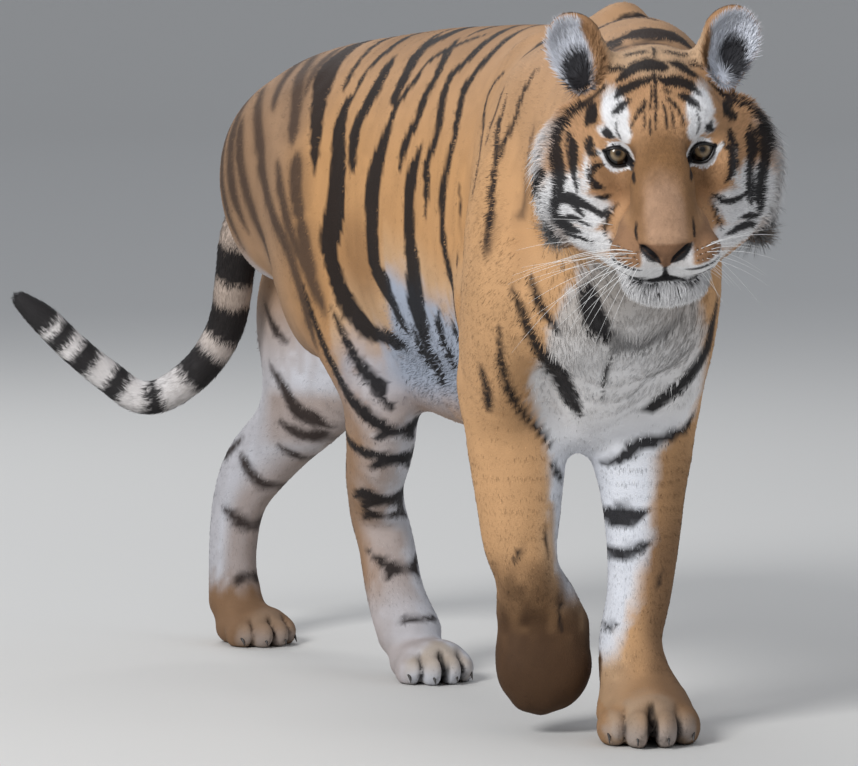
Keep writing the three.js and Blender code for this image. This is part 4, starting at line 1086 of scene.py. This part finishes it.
    # the stripes are browner on the rump, the shins and the shoulder
    brown = 0.5 * step(560, 760, along) + 0.3 * shin * step(300, 200, height)
    brown = np.clip(brown * (1 - onTail) + 0.3 * step(60, -60, along) * torso, 0, 0.5)
    stripe = coatHues["dark"] + (coatHues["faded"] - coatHues["dark"]) * brown[:, None]
    colour = colour + (stripe - colour) * dark[:, None] * 0.97
    colour = noseColour(rimColour(colour, points, face, rag), at, face)
    # the nostrils painted dark: painted shade in the openings
    nostrils = strokeMask(faceChart, stripes["face"][-2:], ragged * 0, 0.8) * at["nose"]
    colour = earColour(washed(colour, ("dark", nostrils)), normals, at, grain)
    speckle = face * step(36, 24, np.abs(head[:, 0])) * softNoise(points, 0.0035, 8)
    # colours darker towards the floor
    darkerLow = np.interp(height, [0, 140, 420], [0.86, 0.93, 1])
    return np.clip(colour * ((1 + 0.07 * blotch + 0.08 * grain + 0.12 * speckle) * darkerLow)[:, None], 0.003, 1)


# ---- the lie of the coat
def chinBeard(at):
    x, y, z = at["head"].T
    return at["face"] * step(-136, -146, z) * step(-20, -50, y) * step(66, 50, np.abs(x))


def limbWays(body):
    best, ways = np.full(len(body), 60.0), np.zeros_like(body)
    for shape in (foreLegLeft, foreLegRight, hindLegLeft, hindLegRight, tail):
        close = np.flatnonzero(np.all((body > shape["low"] - 40) & (body < shape["high"] + 40), axis=1))
        away, way, _ = shape["near"](body[close], True)
        nearer = away < best[close]
        best[close[nearer]] = away[nearer]
        ways[close[nearer]] = way[nearer]
    return ways


def lieOfCoat(points, normals, at):
    body, head = at["body"], at["head"]

    def toward(ways, *wanted):
        for way, amount in wanted:
            ways = ways + (way - ways) * amount[:, None]
        return ways

    def mirrored(left, back, up):
        return np.column_stack([np.sign(head[:, 0]) * left, np.full(len(head), back), np.full(len(head), up)])
    ways = np.tile([0, 1.0, -0.12], (len(points), 1))
    ways[:, 2] -= 0.45 * step(30, 90, at["around"])
    limbs = np.maximum(np.maximum(at["foreLeg"], at["hindLeg"]), at["tail"])
    ways = toward(ways, (np.array([0, 0.1, -1.0]), at["chest"]), (np.array([0, 1.0, -0.2]), at["belly"]),
                  (limbWays(body), limbs), (np.array([0, -0.8, -0.4]), at["paw"] * step(70, 40, body[:, 2])))
    fromNose = toward(unit(head - np.array([0, -126, -76])), (mirrored(0.75, 0.1, -0.75), at["ruff"] * 0.75),
                      (unit(head - mirrored(86.0, 92.0, 66.0)), at["ear"]),
                      (mirrored(0.1, 0.3, -1.0), chinBeard(at)))
    ways = toward(bodyWay(points, ways), (fromNose @ skullWay.T, at["inHead"]))
    ways += 0.22 * np.column_stack([softNoise(points, 0.03, seed) for seed in (21, 22, 23)])
    return unit(ways - normals * (ways * normals).sum(1)[:, None])


# ---- coat: short closed spikes of hair on the skin, and longer bent ones where the hair is long
def readSkin(mesh):
    mesh.calc_loop_triangles()
    triangles, loops = (readAll(mesh.loop_triangles, key, 3, np.int32) for key in ("vertices", "loops"))
    spots, normals = (readAll(mesh.vertices, key, 3).astype(float) for key in ("co", "normal"))
    corners = spots[triangles]
    area = np.linalg.norm(np.cross(corners[:, 1] - corners[:, 0], corners[:, 2] - corners[:, 0]), axis=1) / 2
    uv = readAll(mesh.uv_layers["OFBake"].data, "uv", 2)[loops]
    at = regions(spots)
    return dict(spots=spots, normals=normals, triangles=triangles, uv=uv, area=area, at=at,
                lie=lieOfCoat(spots, normals, at))


def scatter(density):
    # random roots on the skin, density is how many to a square metre at each vertex
    triangles = skinData["triangles"]
    wanted = skinData["area"] * density[triangles].mean(1)
    total = np.cumsum(wanted)
    count = int(total[-1])
    chosen = np.searchsorted(total, np.sort(rng.random(count)) * total[-1])
    a, b = rng.random(count), rng.random(count)
    a, b = np.where(a + b > 1, 1 - a, a), np.where(a + b > 1, 1 - b, b)
    shares = np.column_stack([1 - a - b, a, b])
    corners = triangles[chosen]

    def between(values):
        return np.einsum("ij,ij...->i...", shares, values[corners])
    spots = between(skinData["spots"])
    places = framePlaces(spots)
    weights = {name: between(value) for name, value in skinData["at"].items() if name not in places}
    return dict(spots=spots, normals=unit(between(skinData["normals"])), lie=between(skinData["lie"]),
                uv=np.einsum("ij,ijk->ik", shares, skinData["uv"][chosen]), at=dict(weights, **places))


def paintMesh(mesh, colours):
    paint = mesh.color_attributes.new("coatColour", "FLOAT_COLOR", "POINT")
    opaque = np.column_stack([colours, np.ones(len(colours))])
    paint.data.foreach_set("color", opaque.astype(np.float32).ravel())


def meshFromArrays(name, vertices, triangles, uv, colours):
    mesh = bpy.data.meshes.new(name)
    mesh.vertices.add(len(vertices))
    mesh.vertices.foreach_set("co", vertices.astype(np.float32).ravel())
    mesh.loops.add(triangles.size)
    mesh.loops.foreach_set("vertex_index", triangles.astype(np.int32).ravel())
    mesh.polygons.add(len(triangles))
    mesh.polygons.foreach_set("loop_start", np.arange(0, triangles.size, 3, dtype=np.int32))
    mesh.update(calc_edges=True)
    layer = mesh.uv_layers.new(name="OFBake")
    layer.data.foreach_set("uv", uv[triangles.ravel()].astype(np.float32).ravel())
    paintMesh(mesh, colours)
    return mesh


spikeFaces = {1: [(0, 1, 3), (1, 2, 3), (2, 0, 3), (0, 2, 1)],
              2: [(0, 1, 4), (0, 4, 3), (1, 2, 5), (1, 5, 4), (2, 0, 3), (2, 3, 5),
                  (3, 4, 6), (4, 5, 6), (5, 3, 6), (0, 2, 1)]}
# how far the spikes stray: turn in radians, the others as shares; root is how deep they start in mm,
# patch how large one is on the unwrap, lowest the height that no point goes below in metres
spikeSizes = dict(turn=0.16, lift=(0.6, 1.4), length=(0.75, 1.2), width=(0.8, 1.25), root=0.3, rootShare=0.03,
                  patch=0.003, lowest=0.0005)


def spikes(name, root, length, width, lift, sag, rings, tones):
    # each spike is rings of three points and a tip, its broad side up; all sizes in mm
    count = len(length)

    def strayed(values, key):
        return (values * rng.uniform(*spikeSizes[key], count))[:, None]
    normals, lie = root["normals"], unit(root["lie"])
    across = np.cross(normals, lie)
    lie = unit(lie + across * rng.normal(0, spikeSizes["turn"], count)[:, None])
    across = np.cross(normals, lie)
    lift = strayed(lift, "lift")
    way = lie * np.cos(lift) + normals * np.sin(lift)
    start = root["spots"] - normals * (spikeSizes["root"] + spikeSizes["rootShare"] * length[:, None]) * mm
    length = strayed(length, "length") * mm
    width = strayed(width, "width") * mm
    patch = spikeSizes["patch"]
    colours = coatColour(root["spots"], normals, root["at"]) * rng.uniform(1 - tones, 1 + tones, (count, 1))
    rows, paint, uv, shading = [], [], [], []
    for ring in range(rings):
        share = ring / 2 if rings == 2 else 0
        taper = 1 - 0.4 * share
        centre = start + way * length * share - normals * length * sag * share ** 2
        for side, keel in ((0.5, 0), (-0.5, 0), (0, -0.5)):
            rows.append(centre + (across * side + normals * keel) * width * taper)
            # the ring points darker than the tuft's colour: painted shade where the hair meets the skin
            paint.append(colours * (0.9 + 0.1 * share if rings == 1 else 0.8 + 0.2 * share))
            shading.append(unit(normals + across * side * 0.9))
            uv.append(root["uv"] + np.array([side, -0.5 + share + 0.3 * (keel < 0)]) * patch * 0.9)
    rows.append(start + way * length - normals * length * sag)
    paint.append(np.clip(colours * 1.07 + 0.006, 0, 1))
    shading.append(unit(normals + lie * 0.15))
    uv.append(root["uv"] + np.array([0, 0.5]) * patch)
    size = rings * 3 + 1
    triangles = (np.arange(count)[:, None, None] * size + np.array(spikeFaces[rings])).reshape(-1, 3)

    def flat(parts):
        return np.stack(parts, axis=1).reshape(count * size, -1)
    vertices = flat(rows)
    vertices[:, 2] = np.maximum(vertices[:, 2], spikeSizes["lowest"])
    mesh = meshFromArrays(name, vertices, triangles, flat(uv), flat(paint))
    mesh.normals_split_custom_set_from_vertices(flat(shading))
    piece = link(name, mesh, coatHair)
    print(name, count, "tufts")


def addNode(tree, kind, settings=None, links=None):
    # one node with its settings, and links of socket name to (node, output name)
    node = tree.nodes.new(kind)
    for key, value in (settings or {}).items():
        if key in node.inputs:
            node.inputs[key].default_value = value
        else:
            setattr(node, key, value)
    for key, (source, output) in (links or {}).items():
        tree.links.new(source.outputs[output], node.inputs[key])
    return node


def newMaterial(name, values):
    material = bpy.data.materials.new(name)
    material.use_nodes = True
    shader = material.node_tree.nodes["Principled BSDF"]
    for key, value in values.items():
        shader.inputs[key].default_value = value
    return material, material.node_tree, shader


def coatMaterial(name, values):
    # takes its colour, point by point, from the markings
    material, tree, shader = newMaterial(name, {"Roughness": 0.75, "Specular IOR Level": 0.2, **values})
    paint = addNode(tree, "ShaderNodeAttribute", dict(attribute_name="coatColour"))
    tree.links.new(paint.outputs["Color"], shader.inputs["Base Color"])
    return material, tree, shader


def skinMaterial():
    # short fur lying flat: fine streaks of bump over the markings
    material, tree, shader = coatMaterial("short flat fur and skin", {})
    place = addNode(tree, "ShaderNodeTexCoord"), "Object"
    strands = addNode(tree, "ShaderNodeTexNoise", dict(Scale=420.0, Detail=3.0), {"Vector": place})
    bump = addNode(tree, "ShaderNodeBump", dict(Strength=0.5, Distance=0.0012), {"Height": (strands, "Fac")})
    tree.links.new(bump.outputs["Normal"], shader.inputs["Normal"])
    return material


def unwrapSkin(mesh):
    # charts of the skin by its own shape, for the colours' bake
    piece = inScene("unwrap", mesh)
    bpy.context.view_layer.objects.active = piece
    piece.select_set(True)
    bpy.ops.object.mode_set(mode="EDIT")
    bpy.ops.mesh.select_all(action="SELECT")
    bpy.ops.uv.smart_project(angle_limit=math.radians(66), island_margin=0.002)
    bpy.ops.object.mode_set(mode="OBJECT")
    bpy.data.objects.remove(piece)
    mesh.uv_layers[0].name = "OFBake"


# tiger guard hair: dull with a faint silky sheen, coloured tuft by tuft
coatHair = coatMaterial("tiger guard hair", {"Sheen Weight": 0.03, "Sheen Roughness": 0.4})[0]
skinMesh = makeSkin()
unwrapSkin(skinMesh)
skinData = readSkin(skinMesh)
paintMesh(skinMesh, coatColour(skinData["spots"], skinData["normals"], skinData["at"]))
skin = link("skin", skinMesh, skinMaterial())
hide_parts(*fleshNodes)
print("skin coloured")

# how wide (mm) and raised (radians) the tufts are, how far they sag as a share of their length,
# how many to a square metre and how much their tones vary
coats = dict(
    faceRight=dict(width=0.9, lift=0.26, sag=0.05, rings=1, number=480e3, tones=0.26),
    faceLeft=dict(width=0.9, lift=0.26, sag=0.05, rings=1, number=480e3, tones=0.26),
    headBack=dict(width=1.1, lift=0.2, sag=0.08, rings=1, number=520e3, tones=0.2),
    chin=dict(width=1.1, lift=0.5, sag=0.35, rings=2, number=520e3, tones=0.14),
    ears=dict(width=0.9, lift=0.5, sag=0.3, rings=2, number=520e3, tones=0.22),
    ruff=dict(width=1.2, lift=0.52, sag=0.25, rings=2, number=370e3, tones=0.16),
    neck=dict(width=1.5, lift=0.17, sag=0.08, rings=1, number=72e3, tones=0.24),
    bodyRightFront=dict(width=1.4, lift=0.09, sag=0.04, rings=1, number=125e3, tones=0.26),
    bodyRightBack=dict(width=1.4, lift=0.09, sag=0.04, rings=1, number=112e3, tones=0.26),
    bodyLeftFront=dict(width=1.6, lift=0.09, sag=0.04, rings=1, number=66e3, tones=0.26),
    bodyLeftBack=dict(width=1.7, lift=0.09, sag=0.04, rings=1, number=48e3, tones=0.26),
    chest=dict(width=1.4, lift=0.24, sag=0.25, rings=2, number=110e3, tones=0.14),
    belly=dict(width=1.5, lift=0.3, sag=0.25, rings=2, number=60e3, tones=0.14),
    foreLegs=dict(width=1.3, lift=0.15, sag=0.05, rings=1, number=128e3, tones=0.4),
    hindLegs=dict(width=1.4, lift=0.14, sag=0.05, rings=1, number=92e3, tones=0.34),
    tail=dict(width=1.4, lift=0.2, sag=0.06, rings=1, number=150e3, tones=0.2))


def hairLength(at):
    # one even change of length over the whole animal, in mm
    x, y, z = at["head"].T
    length = mix(at, 12, belly=26, chest=20, tail=13, foreLeg=8.5, hindLeg=9, paw=5, inHead=9, ear=5.5,
                 cup=17)
    face = at["face"] * np.interp(y, [-110, -60, 0, 50], [3.6, 4.6, 6.5, 9])
    face = length * (1 - at["face"]) + face * (1 + 0.6 * step(70, 105, np.abs(x)))
    length = np.where(at["face"] > 0, face, length)
    length += (19 - length) * chinBeard(at)
    long = (24 + 26 * step(-10, 60, y)) * (1 - 0.5 * step(-10, 40, z))
    return length + at["ruff"] * (long - length)


# where one coat gives way to the next, in mm along the body
coatLines = dict(neck=-60, chest=40, middle=420)


def coatShares(at):
    # how much of each coat grows at every skin vertex
    legs = np.maximum(at["foreLeg"], at["hindLeg"])
    torso = (1 - at["inHead"]) * (1 - legs) * (1 - at["tail"])
    soft = np.maximum(at["belly"], at["chest"] * 0.8) * torso
    x, y, _ = at["head"].T
    offCup = 1 - at["cup"]
    face = at["inHead"] * step(60, 40, y) * (1 - at["ruff"]) * (1 - at["nose"]) * offCup
    for side in (1, -1):
        q = eyeFrame(skinData["spots"], side)
        upper, lower = lidEdge(q[:, 0])
        bare = (q[:, 2] < upper + 2) & (q[:, 2] > lower - 2) & (np.linalg.norm(q, axis=1) < 30)
        face = face * (1 - bare)
    chin = face * chinBeard(at)
    face = face - chin
    along, right = at["along"], at["side"] < 0
    front = along < coatLines["middle"]
    body = (torso - soft) * (along >= coatLines["neck"])
    return dict(
        faceRight=face * (x < 0), faceLeft=face * (x >= 0),
        headBack=at["inHead"] * step(40, 60, y) * (1 - at["ruff"]) * offCup,
        chin=chin, ears=at["cup"] * (1 - 0.6 * earHollow(at["head"])), ruff=at["ruff"] * offCup,
        neck=(torso - soft) * (along < coatLines["neck"]),
        bodyRightFront=body * front * right, bodyRightBack=body * ~front * right,
        bodyLeftFront=body * front * ~right, bodyLeftBack=body * ~front * ~right,
        chest=soft * (along < coatLines["chest"]), belly=soft * (along >= coatLines["chest"]),
        foreLegs=at["foreLeg"], hindLegs=at["hindLeg"], tail=at["tail"])


for name, share in coatShares(skinData["at"]).items():
    sizes = coats[name]
    root = scatter(np.clip(share, 0, 1) ** 1.5 * sizes["number"])
    length = hairLength(root["at"])
    width = sizes["width"] * np.clip((length / np.median(length)) ** 0.5, 0.7, 1.4)
    spikes("coat_" + name, root, length, width, *[sizes[key] for key in ("lift", "sag", "rings", "tones")])


# ---- eyes, lid rims and whiskers
gazeTurn = math.radians(12)  # to the tiger's right
gaze = unit(np.array([-math.sin(gazeTurn), -math.cos(gazeTurn), 0.09]))
irisSizes = dict(radius=10.8, pupil=3.2, swell=0.06)  # mm, swell is how far the cornea stands out, a share


def makeEye(side):
    centre = Vector(fromHead([eyePlace(side)])[0])
    turn = Vector(gaze).to_track_quat("Z", "Y").to_matrix()
    bm = bmesh.new()
    bmesh.ops.create_uvsphere(bm, u_segments=72, v_segments=48, radius=eyeSizes["radius"] * mm)
    places = []
    for vert in bm.verts:
        places.append(vert.co / mm / irisSizes["radius"])
        swell = irisSizes["swell"] * step(0.75, 1.0, np.array(vert.co.normalized().z))
        vert.co = centre + turn @ (vert.co * (1 + float(swell)))
    mesh = asMesh(bm, "eye")
    pattern = mesh.attributes.new("eyePlace", "FLOAT_VECTOR", "POINT")
    pattern.data.foreach_set("vector", np.array(places, np.float32).ravel())
    name = "eye_left" if side > 0 else "eye_right"
    piece = link("ball_" + name, mesh, eyeMaterial)
    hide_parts(name)
    print(piece.name)


def makeEyeMaterial():
    # wet cornea over a pale olive-amber iris with fine radial threads and a dark edge
    material, tree, shader = newMaterial("wet eye", {
        "Roughness": 0.3, "Specular IOR Level": 0.2, "Coat Weight": 0.7, "Coat Roughness": 0.04})

    def reckon(operation, **links):
        return addNode(tree, "ShaderNodeVectorMath", dict(operation=operation), links)

    def ranged(settings, value):
        return addNode(tree, "ShaderNodeMapRange", settings, {"Value": value}), "Result"
    place = addNode(tree, "ShaderNodeAttribute", dict(attribute_name="eyePlace"))
    flat = reckon("MULTIPLY", Vector=(place, "Vector"))
    flat.inputs[1].default_value = (1, 1, 0)
    radius = reckon("LENGTH", Vector=(flat, "Vector"))
    spoke = reckon("NORMALIZE", Vector=(flat, "Vector"))
    threads = addNode(tree, "ShaderNodeTexNoise", dict(Scale=16.0, Detail=4.0), {"Vector": (spoke, "Vector")})
    rings = addNode(tree, "ShaderNodeValToRGB", None, {"Fac": (radius, "Value")})
    ramp = rings.color_ramp
    pupil = irisSizes["pupil"] / irisSizes["radius"]
    stops = [(0, "#090706"), (pupil - 0.05, "#0d0a08"), (pupil + 0.1, "#54432f"), (0.62, "#857257"),
             (0.84, "#6a5b47"), (0.95, "#16110d"), (1.0, "#0c0908")]
    while len(ramp.elements) < len(stops):
        ramp.elements.new(0.5)
    for element, (position, hue) in zip(ramp.elements, stops):
        element.position = position
        element.color = (*linear(hue), 1)
    bright = ranged({"To Min": 0.55, "To Max": 1.35}, (threads, "Fac"))
    mixed = reckon("SCALE", Vector=(rings, "Color"), Scale=bright)
    # the upper lid's hair shades the top of the ball
    up = addNode(tree, "ShaderNodeSeparateXYZ", None, {"Vector": (place, "Vector")})
    shade = ranged({"From Min": 0.1, "From Max": 0.9, "To Min": 1.0, "To Max": 0.25}, (up, "Y"))
    lidded = reckon("SCALE", Vector=(mixed, "Vector"), Scale=shade)
    tree.links.new(lidded.outputs["Vector"], shader.inputs["Base Color"])
    return material


def strand(bm, rows, radii, sides):
    # a tube along the rows, pulled out ring by ring
    ring, last = None, None
    for i, (row, radius) in enumerate(zip(rows, radii)):
        way = Vector(rows[min(i + 1, len(rows) - 1)] - rows[max(i - 1, 0)])
        turn = way.to_track_quat("Z", "Y").to_matrix().to_4x4()
        place = Matrix.Translation(row) @ turn @ Matrix.Scale(radius, 4)
        if ring is None:
            ring = bmesh.ops.create_circle(bm, cap_ends=True, segments=sides, radius=1, matrix=place)["verts"]
            edges = list({e for v in ring for e in v.link_edges if all(o in ring for o in e.verts)})
        else:
            made = bmesh.ops.extrude_edge_only(bm, edges=edges)["geom"]
            ring = [g for g in made if isinstance(g, bmesh.types.BMVert)]
            edges = [g for g in made if isinstance(g, bmesh.types.BMEdge) and all(v in ring for v in g.verts)]
            bmesh.ops.transform(bm, matrix=place @ last.inverted(), verts=ring)
        last = place
    bmesh.ops.contextual_create(bm, geom=edges)


def finishTubes(bm, name, material):
    bmesh.ops.recalc_face_normals(bm, faces=bm.faces)
    link(name, asMesh(bm, name), material)
    print(name)


rimSizes = dict(away=1.2, radius=1.5, corner=0.9)  # mm


def makeRims():
    bm = bmesh.new()
    half = eyeSizes["width"] / 2
    x = np.linspace(-half, half, 25)
    radii = np.interp(np.abs(x), [half * 0.8, half], [rimSizes["radius"], rimSizes["corner"]])
    c, s = math.cos(slant), math.sin(slant)
    for side in (1, -1):
        for z in lidEdge(x):
            ball = eyeSizes["radius"] + rimSizes["away"]
            y = -np.sqrt(np.maximum(ball ** 2 - x ** 2 - z ** 2, 1))
            rows = np.column_stack([side * (x * c - z * s), y, x * s + z * c]) + eyePlace(side)
            strand(bm, fromHead(rows), radii * mm, 8)
    finishTubes(bm, "lid_rims", rimMaterial)


whiskerSizes = dict(rows=4, columns=6, aside=30, up=-96, gap=6.5, length=(80, 165), radius=0.42)


def makeWhiskers():
    bm = bmesh.new()
    for side in (1, -1):
        for row in range(whiskerSizes["rows"]):
            for column in range(whiskerSizes["columns"]):
                x = side * (whiskerSizes["aside"] + whiskerSizes["gap"] * column + rng.uniform(-1, 1))
                z = whiskerSizes["up"] - whiskerSizes["gap"] * row + 1.6 * column + rng.uniform(-1, 1)
                start = fromHead([[x, -200, z]])[0]
                ahead = fromHead([[x, -199, z]])[0] - start
                hit, place, *_ = skin.ray_cast(Vector(start), Vector(ahead).normalized())
                lower = row / (whiskerSizes["rows"] - 1)
                if not hit or lower == 1 and column == 0:
                    continue
                fall = math.radians(6 - 62 * lower ** 1.4 + rng.uniform(-7, 7))
                back = 0.1 + 0.35 * rng.random() + 0.5 * (side > 0)
                way = unit(np.array([side * math.cos(fall), back, math.sin(fall)])) @ skullWay.T
                length = (rng.uniform(*whiskerSizes["length"]) - 30 * (side > 0)) * mm
                drop = length * rng.uniform(0.1, 0.3)
                t = np.linspace(0, 1, 11)[:, None]
                rows = np.array(place) + way * length * t + np.array([0, 0, -1]) * drop * t ** 2
                radii = whiskerSizes["radius"] * (1 - 0.82 * t[:, 0]) * mm
                strand(bm, rows, radii, 5)
    finishTubes(bm, "whiskers", whiskerMaterial)


clawSizes = dict(length=12, radius=3.0, drop=6, curl=7, spread=1.16, ahead=22, up=22)


def makeClaws():
    # each claw shows its tip out of the fur of its toe
    bm = bmesh.new()
    for name in clefts:
        sizes = paws[name]
        way = np.array(turned((0, 0, sizes["turn"]), "XYZ"))
        for x, y in zip(toes["spread"], toes["reach"]):
            t = np.linspace(0, 1, 7)
            local = np.column_stack([
                x * (clawSizes["spread"] + 0 * t), y - clawSizes["ahead"] - clawSizes["length"] * t,
                clawSizes["up"] - clawSizes["drop"] * t - clawSizes["curl"] * t ** 2])
            local[:, 1] += 0.1 * abs(x)
            places = fromBody(np.array(sizes["place"]) + local @ way.T * sizes["size"])
            radii = clawSizes["radius"] * (1 - t ** 1.6 * 0.88) * mm
            strand(bm, places, radii, 10)
    finishTubes(bm, "claws", clawMaterial)


def plainMaterial(name, hue, roughness):
    material, tree, shader = newMaterial(name, {"Roughness": roughness})
    place = addNode(tree, "ShaderNodeTexCoord")
    grain = addNode(tree, "ShaderNodeTexNoise", dict(Scale=300.0, Detail=2.0), {"Vector": (place, "Object")})
    tones = addNode(tree, "ShaderNodeValToRGB", None, {"Fac": (grain, "Fac")})
    tones.color_ramp.elements[0].color = (*(linear(hue) * 0.75), 1)
    tones.color_ramp.elements[1].color = (*np.clip(linear(hue) * 1.2, 0, 1), 1)
    tree.links.new(tones.outputs["Color"], shader.inputs["Base Color"])
    return material


eyeMaterial = makeEyeMaterial()
rimMaterial = plainMaterial("damp black lid", "#120e0d", 0.35)  # bare skin, moist at the edge
whiskerMaterial = plainMaterial("white whisker", "#f2f1ee", 0.35)  # stiff clear bristle
clawMaterial = plainMaterial("dark claw horn", "#2a2522", 0.4)  # smooth keratin, dull at its root
for side in (1, -1):
    makeEye(side)
makeRims()
makeWhiskers()
makeClaws()


# ---- camera, floor and light
cameraSizes = dict(azimuth=-14, distance=7.575, height=1.084, aside=-0.204, pitch=4.63,
                   focalPixels=5627, width=858)


def makeCamera():
    azimuth, pitch = math.radians(cameraSizes["azimuth"]), math.radians(cameraSizes["pitch"])
    back = Vector((math.sin(azimuth), -math.cos(azimuth), 0))
    right = Vector((math.cos(azimuth), math.sin(azimuth), 0))
    data = bpy.data.cameras.new("camera")
    data.sensor_width = 36
    data.lens = cameraSizes["focalPixels"] / cameraSizes["width"] * data.sensor_width
    data.clip_end = 100
    camera = inScene("camera", data)
    camera.location = (Vector(base) + back * cameraSizes["distance"] + right * cameraSizes["aside"]
                       + Vector((0, 0, cameraSizes["height"])))
    look = -back * math.cos(pitch) - Vector((0, 0, math.sin(pitch)))
    camera.rotation_euler = look.to_track_quat("-Z", "Y").to_euler()
    bpy.context.scene.camera = camera


stageSizes = dict(flat=22, sweep=7)  # metres


def makeStage():
    # a round studio floor that sweeps up at its far edge
    bm = bmesh.new()
    flat, sweep = stageSizes["flat"], stageSizes["sweep"]
    rise = [bm.verts.new((0, 0, 0)), bm.verts.new((flat, 0, 0))]
    for turn in np.linspace(0, math.pi / 2, 13)[1:]:
        rise.append(bm.verts.new((flat + sweep * math.sin(turn), 0, sweep * (1 - math.cos(turn)))))
    edges = [bm.edges.new(two) for two in zip(rise, rise[1:])]
    bmesh.ops.spin(bm, geom=rise + edges, cent=(0, 0, 0), axis=(0, 0, 1), angle=2 * math.pi, steps=96,
                   use_merge=True)
    bmesh.ops.remove_doubles(bm, verts=bm.verts, dist=1e-5)
    bmesh.ops.recalc_face_normals(bm, faces=bm.faces)
    floor = inScene("floor", asMesh(bm, "floor"))
    # pale and dull, so that the coat's own colours show
    paint = newMaterial("matt floor paint", {"Base Color": (*linear("#d2d1ce"), 1), "Roughness": 0.8})[0]
    floor.data.materials.append(paint)


def makeLights():
    world = bpy.data.worlds.new("studio")
    world.use_nodes = True
    background = world.node_tree.nodes["Background"].inputs
    background["Color"].default_value = (*linear("#e6ebf4"), 1)
    background["Strength"].default_value = 0.5
    bpy.context.scene.world = world
    middle = Vector((0, 0, 0.5))
    for name, place, size, power in (("key", (-4.4, -3.6, 4.2), 2.4, 345), ("fill", (4.5, -3, 2.4), 3, 18),
                                     ("rim", (-0.5, 4.8, 4.2), 2.5, 90)):
        data = bpy.data.lights.new(name, "AREA")
        data.shape = "DISK"
        data.size = size
        data.energy = power
        lamp = inScene(name, data)
        lamp.location = place
        lamp.rotation_euler = (middle - Vector(place)).to_track_quat("-Z", "Y").to_euler()


bpy.context.scene.view_settings.view_transform = "Standard"
makeCamera()
makeStage()
makeLights()
print("stage and lights")
